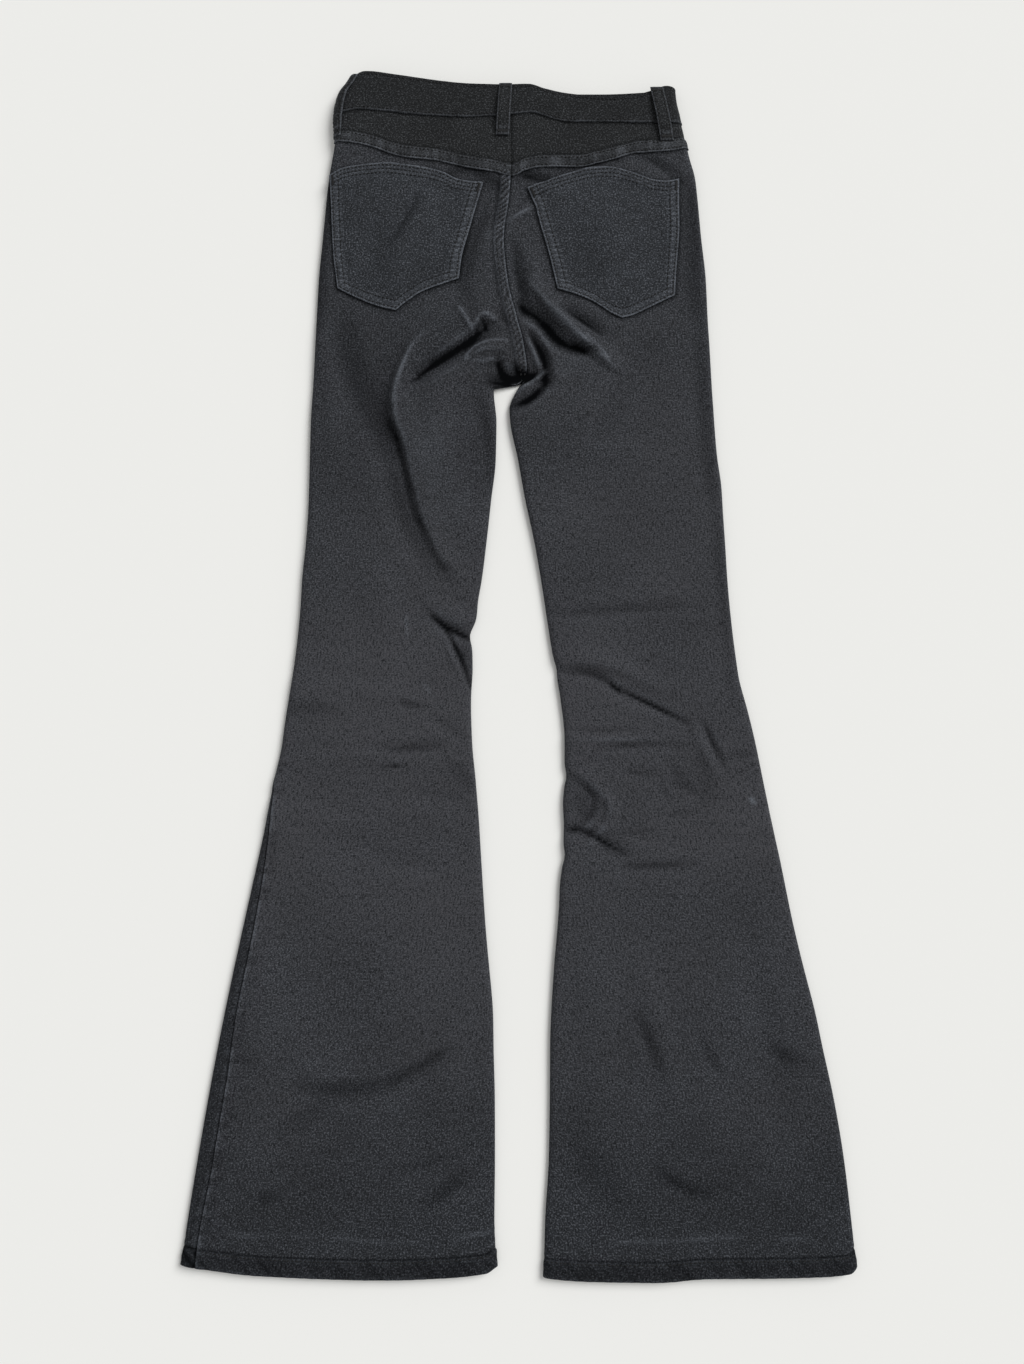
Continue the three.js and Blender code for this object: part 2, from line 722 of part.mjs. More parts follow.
addPiece('waistband', waistband(), materials.denimDark());
for (const side of sides) {
  addPiece(`yoke_${side}`, yoke(side), materials.denimDark());
  addPiece(`back_leg_${side}`, backLeg(side), materials.denim());
  addPiece(`front_leg_${side}`, frontLeg(side), materials.denim());
  addPiece(`back_pocket_${side}`, backPocket(side), materials.denimWorn());
  addPiece(`pocket_facing_${side}`, pocketFacing(side), materials.facing());
  addPiece(`belt_loop_front_${side}`, frontLoop(side), materials.denimDark());
}
addPiece('belt_loop_back_centre', backLoop(backLoops[0]), materials.denimDark());
addPiece('belt_loop_back_right', backLoop(backLoops[1]), materials.denimDark());
addPiece('belt_loop_back_left', loopOnEdge(), materials.denimDark());
addPiece('fly_shield', flyShield(), materials.facing());

const button = addPiece('waist_button', waistButton(), materials.tackMetal());
button.position.set(innerEdge.left(520) - buttonLap / 2, frontBandSeam(innerEdge.left(520)) + 18, 0);

// The origin is the middle of the bottom of the whole garment's box.
const box = new THREE.Box3().setFromObject(group);
const centre = box.getCenter(new THREE.Vector3());
group.position.set(-centre.x, -centre.y, -box.min.z);

export default group;
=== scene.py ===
import math

import bmesh
import bpy
import numpy as np
from mathutils import Matrix, Vector


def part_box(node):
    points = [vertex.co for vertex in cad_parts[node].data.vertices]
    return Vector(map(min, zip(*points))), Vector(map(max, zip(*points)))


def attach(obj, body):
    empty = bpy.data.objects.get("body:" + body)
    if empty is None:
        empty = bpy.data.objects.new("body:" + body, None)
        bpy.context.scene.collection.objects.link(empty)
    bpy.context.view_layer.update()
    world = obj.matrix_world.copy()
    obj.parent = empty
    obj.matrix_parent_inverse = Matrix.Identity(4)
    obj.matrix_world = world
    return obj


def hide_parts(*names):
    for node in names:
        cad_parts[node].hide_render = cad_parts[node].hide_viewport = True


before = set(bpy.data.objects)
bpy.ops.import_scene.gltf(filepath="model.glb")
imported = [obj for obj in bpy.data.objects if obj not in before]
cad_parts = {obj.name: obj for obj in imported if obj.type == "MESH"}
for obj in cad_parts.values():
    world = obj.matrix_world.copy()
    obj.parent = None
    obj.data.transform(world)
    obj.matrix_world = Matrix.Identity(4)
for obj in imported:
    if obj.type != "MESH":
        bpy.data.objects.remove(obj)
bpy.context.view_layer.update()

# Flared jeans in black stretch denim, laid flat with the back facing up.
# The garment's form is worked out in millimetres, x across, y from the hems to the waist, z up.
# Left and right are the wearer's: left is at negative x. The last step turns it into metres.

photoCamera = {
    "place": (-0.0060, -0.1333, 0.9013),
    "tiltDegrees": 6.0,
    "lens": 26.0,
    "sensor": 36.0,
}


def addCamera(settings):
    data = bpy.data.cameras.new("photoCamera")
    data.lens = settings["lens"]
    data.sensor_width = settings["sensor"]
    data.clip_start = 0.02
    holder = addObject("photoCamera", data)
    holder.location = settings["place"]
    holder.rotation_euler = (math.radians(settings["tiltDegrees"]), 0, 0)
    bpy.context.scene.camera = holder


def addObject(name, data):
    thing = bpy.data.objects.new(name, data)
    bpy.context.scene.collection.objects.link(thing)
    return thing


addCamera(photoCamera)

# Helpers for curves and easing, all working on whole arrays at once.


def table(columns, rows):
    names = columns.split()
    return [dict(zip(names, row)) for row in rows]


def column(rows, name):
    return np.array([row[name] for row in rows], float)


def lerp(start, end, share):
    return start + (end - start) * share


def smooth(value):
    share = np.clip(value, 0, 1)
    return share * share * (3 - 2 * share)


def bell(distance, width):
    return np.exp(-(distance / width) ** 2)


def curve(places, values):
    # smooth curve through the rows that never swings past them
    order = np.argsort(places)
    at = np.asarray(places, float)[order]
    level = np.asarray(values, float)[order]
    chords = np.diff(level) / np.diff(at)
    before = np.concatenate((chords[:1], chords))
    after = np.concatenate((chords, chords[-1:]))
    total = np.where(np.abs(before + after) < 1e-9, 1, before + after)
    slopes = np.where(before * after > 0, 2 * before * after / total, 0)

    def valueAt(place):
        spot = np.clip(place, at[0], at[-1])
        k = np.clip(np.searchsorted(at, spot, side="right") - 1, 0, len(at) - 2)
        step = at[k + 1] - at[k]
        t = (spot - at[k]) / step
        bend = t * (1 - t) ** 2 * slopes[k] - t * t * (1 - t) * slopes[k + 1]
        return level[k] + (level[k + 1] - level[k]) * t * t * (3 - 2 * t) + step * bend

    return valueAt


def curveFrom(rows, key, name):
    return curve(column(rows, key), column(rows, name))


def latticeValue(column, row, seed):
    mixed = np.sin(column * 127.1 + row * 311.7 + seed * 74.7) * 43758.5453
    return mixed - np.floor(mixed)


def softNoise(x, y, sizeX, sizeY, seed):
    # smooth noise from -1 to 1 with grains of sizeX by sizeY
    across, along = x / sizeX, y / sizeY
    column, row = np.floor(across), np.floor(along)
    tx, ty = across - column, along - row
    tx, ty = tx * tx * (3 - 2 * tx), ty * ty * (3 - 2 * ty)
    low = lerp(latticeValue(column, row, seed), latticeValue(column + 1, row, seed), tx)
    high = lerp(latticeValue(column, row + 1, seed), latticeValue(column + 1, row + 1, seed), tx)
    return 2 * lerp(low, high, ty) - 1


# The laid garment's form: its outline, seams, loft and folds.

garment = {
    "denim": 1.2,
    "hemCloth": 1.9,
    "hemDepth": 15.0,
    "topRound": 6.0,
    "lowRound": 3.0,
    "crotchTop": 262.0,
    "crotchLow": 243.0,
    "restRise": 2.9,
    "restEnd": 385.0,
    "restFlat": 486.0,
    "legFoot": -552.0,
    "buttonX": -22.0,
    "buttonY": 519.0,
}

outline = table("y outerLeft innerLeft innerRight outerRight", [
    (560, -157, -7, -7, 153),
    (545, -165, -7, -7, 153.5),
    (533, -171.5, -7, -7, 154),
    (512, -175, -7, -7, 157.5),
    (491, -176.5, -6.5, -6.5, 162),
    (470, -179.5, -6.2, -6.2, 166.5),
    (450, -182.5, -7, -7, 171.5),
    (430, -184.5, -8.5, -8.5, 173.5),
    (389, -187.5, -13.5, -13.5, 176.5),
    (348, -190.5, -10, -10, 180),
    (308, -191.8, -1, -1, 181),
    (285, -192.5, 5, 5, 182),
    (256, -193.3, 8.5, 8.5, 183),
    (249, -193.5, 5.5, 5.5, 183.2),
    (244, -193.7, 0, 3, 183.4),
    (242, -193.7, -10, 1.2, 183.5),
    (240, -193.8, -22.5, 0, 183.5),
    (238, -193.9, -22.8, -1, 183.6),
    (228, -194.4, -22.2, -6, 184.1),
    (220, -194.8, -21.2, -8, 184.5),
    (208, -195.2, -20.2, -7.3, 185),
    (171, -195.4, -20.8, 0, 187),
    (132, -195.6, -25, 6.8, 190.5),
    (94, -197, -29, 14.8, 192.5),
    (56, -199.3, -33.6, 21.3, 194),
    (19, -201.6, -40, 26.8, 196.5),
    (-19, -205, -42.4, 32.5, 200.5),
    (-55, -209.8, -43.1, 38.8, 207.5),
    (-92, -215.2, -42, 42.3, 215.5),
    (-128, -220.9, -38.6, 42, 222),
    (-164, -227.2, -35.5, 41.5, 228.5),
    (-200, -234, -33.2, 40, 235.5),
    (-253, -244.5, -29.6, 35.6, 245),
    (-305, -254.6, -25.3, 31, 256),
    (-357, -264, -22.4, 28.2, 267),
    (-408, -272.3, -20.6, 27.6, 277),
    (-458, -279.8, -20.4, 26.5, 284),
    (-508, -286.6, -20.8, 23.2, 288.5),
    (-558, -292.6, -17.6, 21.8, 292.4),
])

# small dents and bulges of the edges, positive moves the edge outwards to the right
edgeDents = table("edge y reach shift", [
    ("innerLeft", 4, 9, -3.2),
    ("innerLeft", 22, 12, 1.6),
    ("innerLeft", -30, 16, 1.0),
    ("innerLeft", -330, 30, 1.2),
    ("innerRight", -26, 8, 1.4),
    ("innerRight", -124.8, 7, 1.8),
    ("innerRight", -150, 13, -1.2),
    ("innerRight", -196.3, 7, 1.8),
    ("innerRight", -222, 14, -1.0),
    ("outerLeft", 60, 24, -0.8),
    ("outerLeft", -100, 18, 1.0),
    ("outerRight", 150, 20, 1.0),
    ("outerRight", -40, 16, -1.0),
    ("outerRight", -330, 26, 0.9),
])

bandTop = curve(
    (-160, -147, -117, -76, -48, -12, 10, 27, 46, 71, 96, 114, 129, 145, 154),
    (555.5, 558, 554.2, 548, 545, 544, 544.6, 539.6, 535, 532.6, 531.6, 533, 537.5, 542.8, 542),
)
bandSeam = curve(
    (-175, -153, -130, -108, -82, -52, -20, -4, 14, 25, 37, 48, 80, 114, 158),
    (515, 518.5, 517, 514, 512, 510.8, 512, 513.6, 515.2, 512, 507.6, 505.4, 505.4, 504.7, 504.6),
)
yokeSeam = curve(
    (-178, -157, -143, -124, -110, -82, -48, -21, -6, 7, 23, 59, 78, 98, 118, 145, 165),
    (486, 483.5, 480.4, 473.6, 470, 466.4, 459, 454.7, 451, 456.7, 459.8, 459.8, 464, 469, 474, 475.3, 479),
)
frontBandSeam = curve((-175, -90, -7, 80, 158), (515, 506, 501, 500, 504.6))
frontBandTop = curve((-162, -90, -7, 80, 154), (554, 544, 538.5, 538, 542))
hemLine = curve(
    (-292, -262, -221, -116, -63, -28, -18, 24, 62, 119, 164, 218, 262, 284, 293),
    (-543.5, -548, -552.4, -555.7, -554, -550.3, -545.5,
     -554.2, -556.9, -557.7, -554.6, -554.2, -553, -551, -544),
)
# how far the left side seam has rolled up onto the top, measured round the edge
seamRoll = curve(
    (-560, -520, -461, -393, -323, -283, -223, -153, -110),
    (17, 16, 18, 17.5, 14.5, 14.5, 12.5, 6.5, 0),
)
loft = curve((-560, -500, 150, 300, 385, 440, 486, 560), (6.6, 6.4, 6.8, 7.4, 7.2, 8, 9.4, 9.6))
pressed = curve((-560, -530, -512, 300, 395, 440, 486, 560), (5.4, 5.2, 2.9, 2.8, 4.0, 6.5, 8.6, 9))
seamHeight = curve((-560, 400, 480, 560), (3.2, 3.2, 4.9, 5.1))

# Folds of the upper layer, each a bow through three points. A trough's height is negative.
# Lean makes the flank on the left of its run steeper, or the right one where it is negative.
folds = table("fromX fromY viaX viaY toX toY half height lean sharp", [
    # left seat and thigh
    (-29, 301, -57, 279, -93, 253, 13, -9.5, -0.3, 0.4),
    (-74, 270, -90, 258, -104, 240, 17, -3.6, 0.0, 0.0),
    (-42, 320, -76, 301, -116, 276, 21, 4.2, 0.0, 0.1),
    (-60, 252, -84, 222, -84, 176, 30, 4.4, 0.0, 0.0),
    (-52, 262, -66, 248, -74, 236, 14, 2.2, 0.0, 0.0),
    (-72, 190, -74, 160, -66, 120, 32, 3.2, 0.0, 0.0),
    (-97, 284, -115, 240, -112, 198, 17, 6.6, -0.5, 0.6),
    (-114, 212, -102, 168, -91, 118, 16, 5.4, -0.5, 0.5),
    (-92, 130, -79, 93, -61, 61, 14, 3.8, -0.4, 0.5),
    (-118, 276, -132, 228, -124, 176, 17, -3.6, 0.1, 0.1),
    (-124, 170, -112, 118, -88, 70, 15, -3.8, 0.2, 0.3),
    (-169, 306, -152, 246, -120, 176, 22, -4.4, 0.0, 0.1),
    (-182, 300, -178, 240, -170, 180, 14, 1.8, 0.0, 0.0),
    (-140, 96, -128, 40, -120, -10, 26, 1.6, 0.0, 0.0),
    # folded lip beside the crotch on the left
    (-46, 271, -28, 277, -9, 277, 11, 5.0, -0.2, 0.2),
    (-50, 267, -37, 284, -9, 285, 4.5, 2.2, 0.2, 0.8),
    (-44, 265, -28, 268, -14, 270, 4.0, 2.2, -0.3, 0.8),
    (-56, 318, -49, 307, -43, 296, 6, 2.8, 0.0, 0.8),
    (-41, 300, -34, 311, -24, 309, 5, 2.6, 0.0, 0.7),
    (-35, 308, -32, 303, -30, 297, 4, -3.4, 0.0, 0.6),
    (-20, 315, -14, 306, -9, 300, 6, -1.8, 0.0, 0.4),
    (-22, 254, -4, 250, 18, 254, 12, -7.5, 0.0, 0.0),
    (-18, 268, -16, 259, -10, 250, 8, -4.5, 0.0, 0.2),
    # right of the seat seam
    (9, 293, 15, 275, 23, 256, 5, 3.4, 0.3, 0.7),
    (25, 256, 13, 246, -1, 236, 5, 4.0, 0.0, 0.6),
    (25, 248, 13, 231, -4, 224, 9, -4.6, 0.0, 0.2),
    (13, 292, 24, 270, 28, 246, 9, -4.6, 0.0, 0.2),
    (0, 322, 22, 307, 40, 289, 12, -6.5, 0.0, 0.3),
    (26, 300, 44, 284, 69, 276, 11, -6.4, 0.2, 0.3),
    (13, 340, 46, 303, 89, 259, 12, 6.4, -0.3, 0.5),
    (34, 338, 60, 322, 96, 300, 14, 2.4, 0.0, 0.2),
    (43, 317, 62, 305, 79, 293, 8, -3.0, 0.0, 0.4),
    (136, 295, 92, 274, 56, 208, 22, 3.6, 0.2, 0.1),
    (128, 270, 96, 236, 78, 190, 16, -2.2, 0.0, 0.1),
    (-3, 380, 1, 346, 5, 314, 9, -3.4, 0.0, 0.2),
    (12, 372, 16, 352, 20, 330, 9, 2.0, 0.0, 0.2),
    (-7, 405, 4, 414, 17, 420, 6, 2.6, 0.4, 0.7),
    (-4, 418, 6, 427, 18, 432, 8, -2.4, 0.0, 0.2),
    (1, 453, 12, 450, 27, 445, 8, -3.4, 0.0, 0.2),
    (46, 463, 66, 463, 96, 467, 7, -2.8, 0.0, 0.3),
    (120, 472, 136, 463, 152, 449, 9, -3.0, 0.0, 0.2),
    (160, 440, 166, 400, 164, 330, 10, -2.0, 0.0, 0.1),
    # back pockets and the strip over them
    (-90, 440, -108, 407, -125, 374, 8, -1.6, 0.3, 0.3),
    (-82, 436, -98, 402, -113, 372, 9, 1.2, 0.0, 0.0),
    (-30, 438, -40, 400, -52, 352, 9, -2.0, 0.0, 0.2),
    (-20, 440, -26, 400, -30, 350, 9, 1.4, 0.0, 0.1),
    (-150, 470, -120, 468, -84, 462, 7, -1.6, 0.0, 0.2),
    (98, 420, 92, 380, 88, 340, 24, 1.6, 0.0, 0.0),
    (-128, 420, -122, 380, -118, 345, 20, 1.2, 0.0, 0.0),
    # left knee
    (-79, 22, -60, 10, -43, 1, 7, -3.8, 0.4, 0.6),
    (-82, 32, -60, 20, -41, 11, 11, 3.0, -0.3, 0.2),
    (-73, 18, -55, -12, -44, -44, 6, -3.2, 0.3, 0.6),
    (-66, 6, -60, -8, -50, -30, 9, 1.8, 0.0, 0.1),
    (-109, -59, -98, -60, -87, -61, 5, -1.6, 0.3, 0.6),
    (-112, -52, -98, -53, -84, -55, 7, 1.2, 0.0, 0.2),
    (-204, -103, -184, -100, -164, -98, 10, -1.6, 0.0, 0.1),
    (-143, -98, -106, -99, -68, -96, 9, -2.4, 0.2, 0.3),
    (-150, -108, -106, -112, -64, -108, 11, 1.5, 0.0, 0.1),
    (-118, -116, -112, -116, -104, -115, 4, -1.8, 0.3, 0.7),
    (-80, -72, -64, -84, -48, -92, 9, -1.8, 0.0, 0.2),
    (-96, -140, -72, -146, -46, -142, 11, -1.8, 0.0, 0.2),
    (-190, -160, -150, -168, -104, -162, 14, 1.5, 0.0, 0.1),
    (-132, -196, -96, -206, -52, -200, 13, -1.6, 0.0, 0.1),
    # right thigh and knee
    (60, 180, 96, 176, 140, 168, 18, 1.4, 0.0, 0.1),
    (187, 174, 180, 165, 172, 154, 7, -2.0, 0.0, 0.3),
    (30, 21, 94, 27, 164, 29, 7, -2.4, 0.3, 0.4),
    (34, 33, 94, 38, 150, 40, 10, 1.4, 0.0, 0.1),
    (36, -31, 66, -30, 92, -46, 8, -3.4, 0.4, 0.5),
    (84, -42, 118, -58, 153, -77, 8, -3.4, 0.4, 0.5),
    (40, -20, 82, -24, 126, -46, 11, 2.6, -0.3, 0.2),
    (168, -77, 178, -95, 186, -116, 6, -2.6, 0.4, 0.5),
    (160, -86, 168, -100, 176, -118, 8, 1.8, 0.0, 0.2),
    (44, -84, 76, -84, 108, -85, 7, -2.2, 0.2, 0.4),
    (70, -99, 106, -98, 143, -99, 7, -2.0, 0.2, 0.4),
    (50, -92, 84, -91, 120, -91, 6, 1.3, 0.0, 0.1),
    (96, -123, 110, -123, 125, -123, 6, -1.6, 0.0, 0.3),
    (138, -116, 148, -128, 158, -142, 7, -1.8, 0.0, 0.3),
    (42, -122, 68, -148, 44, -178, 13, -3.4, 0.5, 0.5),
    (56, -128, 82, -152, 66, -182, 9, 2.6, -0.4, 0.4),
    (45, -173, 70, -180, 98, -196, 6, -3.0, 0.3, 0.6),
    (46, -166, 74, -171, 104, -186, 8, 1.8, 0.0, 0.1),
    (96, -208, 126, -206, 158, -203, 8, -1.8, 0.2, 0.2),
    (150, -150, 190, -168, 226, -170, 15, 1.5, 0.0, 0.1),
    # flares
    (-194, -399, -130, -396, -64, -366, 12, -2.4, 0.3, 0.2),
    (-186, -384, -126, -380, -66, -352, 16, 1.6, 0.0, 0.0),
    (-110, -400, -92, -388, -72, -372, 9, -1.4, 0.0, 0.2),
    (-182, -457, -172, -457, -162, -456, 7, -1.4, 0.0, 0.2),
    (-226, -492, -220, -492, -212, -491, 7, -1.4, 0.0, 0.2),
    (-100, -460, -84, -460, -68, -459, 8, -1.4, 0.0, 0.2),
    (-77, -494, -57, -482, -37, -469, 8, -2.2, 0.0, 0.3),
    (-90, -508, -64, -500, -40, -490, 10, 1.6, 0.0, 0.1),
    (-40, -300, -60, -370, -66, -440, 22, 1.6, 0.0, 0.0),
    (-230, -240, -226, -330, -240, -430, 22, 1.4, 0.0, 0.0),
    (104, -336, 114, -360, 124, -386, 9, -2.0, 0.0, 0.2),
    (112, -300, 128, -360, 136, -420, 16, 1.8, 0.0, 0.0),
    (156, -352, 165, -366, 173, -381, 8, -1.8, 0.0, 0.2),
    (222, -367, 238, -374, 256, -381, 8, -2.2, 0.0, 0.3),
    (226, -356, 242, -362, 258, -368, 9, 1.5, 0.0, 0.1),
    (122, -463, 144, -482, 178, -480, 8, -2.0, 0.2, 0.3),
    (60, -260, 70, -350, 64, -440, 24, 1.5, 0.0, 0.0),
    (196, -250, 214, -330, 226, -420, 20, -1.6, 0.0, 0.0),
])

# Painted shade along a bow, darker in creases, hollows and under edges; where negative, pale lines that are
# partly rubbed wear and partly painted highlight
shades = table("fromX fromY viaX viaY toX toY half tone", [
    # seat
    (-64, 455, -41, 457, -17, 440, 10, 0.66),
    (-24, 440, -18, 420, -20, 396, 9, 0.24),
    (0, 449, 14, 452, 30, 446, 9, 0.62),
    (30, 455, 60, 461, 98, 466, 6, 0.34),
    (112, 472, 134, 465, 154, 450, 9, 0.36),
    (-34, 412, -49, 364, -45, 318, 15, 0.40),
    (-182, 474, -186, 374, -188, 300, 10, 0.42),
    (-4, 384, 1, 350, 8, 316, 9, 0.44),
    (-30, 391, -9, 407, 13, 419, 3, -0.34),
    (-36, 376, -24, 392, -16, 398, 10, -0.12),
    (164, 440, 166, 381, 167, 320, 17, 0.36),
    # folds round the crotch
    (-30, 300, -52, 282, -80, 265, 9, 0.80),
    (-66, 275, -84, 263, -99, 246, 13, 0.34),
    (-33, 309, -37, 303, -41, 297, 3, 0.40),
    (-56, 317, -49, 307, -43, 297, 1.8, -0.60),
    (-34, 311, -29, 313, -22, 310, 2, -0.34),
    (-50, 267, -37, 283, -9, 285, 1.8, -0.55),
    (-44, 265, -28, 267, -13, 270, 1.8, -0.60),
    (-40, 261, -27, 263, -16, 264, 3, 0.25),
    (-28, 250, -4, 249, 22, 252, 9, 1.0),
    (-19, 268, -16, 258, -10, 250, 6.5, 1.0),
    (-26, 244, -10, 242, 4, 241, 5, 1.0),
    (-4, 262, 4, 256, 12, 250, 8, 0.8),
    (25, 255, 14, 246.5, 0, 237.5, 2.4, -0.45),
    (-6, 222, 12, 230, 27, 246, 7, 0.95),
    (27, 244, 25, 270, 12, 293, 8, 0.75),
    (2, 320, 21, 308, 37, 291, 10, 0.78),
    (28, 298, 44, 283, 68, 277, 9, 0.74),
    (24, 325, 49, 297, 74, 280, 2.4, -0.40),
    (64, 290, 77, 278, 87, 261, 2.0, -0.60),
    (43, 317, 62, 304, 79, 293, 6, 0.36),
    (30, 250, 50, 262, 70, 262, 18, -0.10),
    # thighs
    (-168, 298, -153, 248, -126, 184, 20, 0.34),
    (-132, 262, -128, 226, -120, 196, 14, 0.24),
    (-121, 206, -109, 179, -101, 138, 7, 0.52),
    (-102, 142, -88, 102, -70, 66, 8, 0.40),
    (-99, 281, -115, 242, -116, 216, 2.0, -0.50),
    (-116, 218, -109, 186, -99, 152, 1.8, -0.36),
    (-40, 238, -28, 196, -25, 140, 9, 0.34),
    (-60, 206, -84, 176, -66, 130, 30, -0.12),
    (173, 320, 175, 227, 180, 140, 12, 0.30),
    (182, 150, 188, 60, 196, -60, 10, 0.24),
    (56, 207, 62, 210, 69, 214, 3, 0.26),
    (100, 250, 84, 220, 70, 190, 12, 0.12),
    # left knee
    (-79, 20, -63, 9, -43, 0, 4.5, 0.70),
    (-66, 9, -55, -12, -43, -42, 4.5, 0.62),
    (-52, -4, -48, -14, -42, -24, 8, 0.30),
    (-74, 70, -66, 67, -60, 64, 7, 0.34),
    (-210, -64, -187, -63, -164, -66, 9, 0.24),
    (-106, -61, -97, -61, -86, -64, 3, 0.36),
    (-118, -100, -94, -100, -70, -97, 6, 0.34),
    (-124, -116, -116, -116, -107, -116, 2.6, 0.36),
    (-66, -117, -54, -120, -42, -132, 11, 0.26),
    (-103, 22, -102.5, 11, -102, 2, 1.4, -0.55),
    (-87, -41, -83, -45, -80, -50, 1.8, -0.45),
    # right knee
    (46, -32, 71, -34, 92, -47, 2.8, 0.48),
    (86, -44, 115, -57, 150, -74, 3.0, 0.60),
    (171, -81, 176, -95, 182, -114, 2.6, 0.34),
    (194, -106, 203, -105, 213, -106, 5, 0.26),
    (72, -101, 110, -96, 156, -96, 4, 0.20),
    (96, -121, 108, -122, 121, -125, 3.5, 0.24),
    (140, -119, 146, -132, 157, -139, 5.5, 0.36),
    (129, -132, 133, -140, 139, -146, 4, 0.28),
    (47, -138, 60, -152, 55, -168, 15, 0.32),
    (44, -172, 58, -173, 72, -181, 3.2, 0.50),
    (71, -180, 79, -187, 92, -194, 5.5, 0.55),
    (81, -174, 100, -175, 124, -172, 4.5, 0.26),
    (95, -206, 122, -205, 158, -203, 5, 0.36),
    (130, -159, 143, -159, 158, -157, 5, 0.18),
    (164, -112, 171, -130, 169, -150, 14, 0.20),
    (209, -145, 211, -147, 213.5, -148.5, 3.4, -1.0),
    # flares
    (-62, -364, -82, -376, -110, -391, 7, 0.42),
    (-102, -388, -136, -398, -190, -395, 12, 0.36),
    (-162, -402, -180, -417, -204, -432, 16, 0.22),
    (-250, -371, -242, -372, -233, -376, 5, 0.28),
    (-258, -419, -253, -419, -247, -421, 5, 0.24),
    (-112, -463, -89, -463, -66, -456, 5, 0.24),
    (-48, -471, -63, -481, -80, -495, 10, 0.32),
    (-226, -490, -218, -488, -209, -487, 8, 0.24),
    (120, -463, 137, -476, 167, -486, 8, 0.38),
    (100, -332, 112, -349, 121, -386, 9, 0.24),
    (157, -362, 168, -371, 178, -383, 9, 0.24),
    (223, -364, 234, -371, 246, -386, 11, 0.24),
    (48, -430, 70, -470, 96, -500, 22, 0.16),
])

drape = {
    "broad": 0.9, "broadSize": (95, 150),
    "middle": 0.45, "middleSize": (34, 46),
    "kneeCreases": 0.75, "kneeSize": (62, 13), "kneeFrom": -240, "kneeTo": 60,
    "seatCreases": 0.5, "seatSize": (26, 18),
    "foldSteps": 16, "boxSteps": 9,
    "fadeEnds": (0.16, 0.84),
    "softness": 1.6,
}

# Outline of the back pockets, each edge from the left or from the foot, with the foot's corner point
pocketEdges = {
    "left": {
        "mouth": ((-180.6, 450.5), (-167.8, 457.6), (-146.6, 461.0), (-127.3, 462.5), (-106.1, 460.4),
                  (-81.4, 456.1), (-70.3, 452.6), (-58.7, 446.9), (-46, 444.6), (-33.3, 443.9)),
        "foot": ((-171.6, 337.4), (-157.9, 330.1), (-134, 320.2), (-116.3, 315.7), (-104.6, 325.1),
                 (-91.3, 334.1), (-72.3, 341.6), (-56.5, 347.1)),
        "tip": 3,
        "nearLeft": ((-171.6, 337.4), (-176, 370), (-178.3, 402.6), (-180, 438.2), (-180.6, 450.5)),
        "nearRight": ((-56.5, 347.1), (-54.4, 367.2), (-47.3, 395.5), (-40.6, 419.9), (-33.3, 443.9)),
    },
    "right": {
        "mouth": ((9.2, 438.9), (30.1, 446.4), (50.4, 452.6), (70.7, 457.4), (88.1, 458.2), (104.4, 454.6),
                  (117.9, 450.0), (131.3, 445.6), (142.9, 444.6), (155.4, 447.5)),
        "foot": ((37.7, 336.1), (65.8, 326.1), (79, 318.5), (89.4, 311.5), (98.8, 307.2), (109.3, 310.2),
                 (127, 319.2), (149.3, 330.4)),
        "tip": 4,
        "nearLeft": ((37.7, 336.1), (31.2, 367.2), (23.2, 396.5), (15.3, 425), (9.2, 438.9)),
        "nearRight": ((149.3, 330.4), (150.2, 346.1), (152.7, 374.3), (154.7, 402.6), (154.6, 431.1),
                      (155.4, 447.5)),
    },
}

inward = {"left": 1.0, "right": -1.0}
edgeNames = {
    "left": ("outerLeft", "innerLeft"),
    "right": ("outerRight", "innerRight"),
}
edgeCurves = {name: curveFrom(outline, "y", name) for pair in edgeNames.values() for name in pair}


def edgeAt(name, y):
    place = edgeCurves[name](y)
    for dent in edgeDents:
        if dent["edge"] == name:
            place = place + dent["shift"] * bell(y - dent["y"], dent["reach"])
    return place


def outerEdge(side, y):
    return edgeAt(edgeNames[side][0], y)


def innerEdge(side, y):
    return edgeAt(edgeNames[side][1], y)


def bowPoints(fold, count):
    t = np.linspace(0, 1, count)
    bendX = 2 * fold["viaX"] - (fold["fromX"] + fold["toX"]) / 2
    bendY = 2 * fold["viaY"] - (fold["fromY"] + fold["toY"]) / 2
    x = (1 - t) ** 2 * fold["fromX"] + 2 * t * (1 - t) * bendX + t * t * fold["toX"]
    y = (1 - t) ** 2 * fold["fromY"] + 2 * t * (1 - t) * bendY + t * t * fold["toY"]
    return x, y


def nearPath(bowX, bowY, x, y):
    # distance to a path, stretch by stretch, signed by the side that the point lies on, and how far along
    nearest = np.full(x.shape, 1e9)
    signed = np.zeros(x.shape)
    run = np.zeros(x.shape)
    for k in range(len(bowX) - 1):
        dx, dy = bowX[k + 1] - bowX[k], bowY[k + 1] - bowY[k]
        size = math.hypot(dx, dy)
        if size == 0:
            continue
        t = np.clip(((x - bowX[k]) * dx + (y - bowY[k]) * dy) / size ** 2, 0, 1)
        offX, offY = x - bowX[k] - t * dx, y - bowY[k] - t * dy
        distance = np.hypot(offX, offY)
        closer = distance < nearest
        side = np.sign(dx * offY - dy * offX)
        nearest = np.where(closer, distance, nearest)
        signed = np.where(closer, distance * side, signed)
        run = np.where(closer, (k + t) / (len(bowX) - 1), run)
    return signed, run


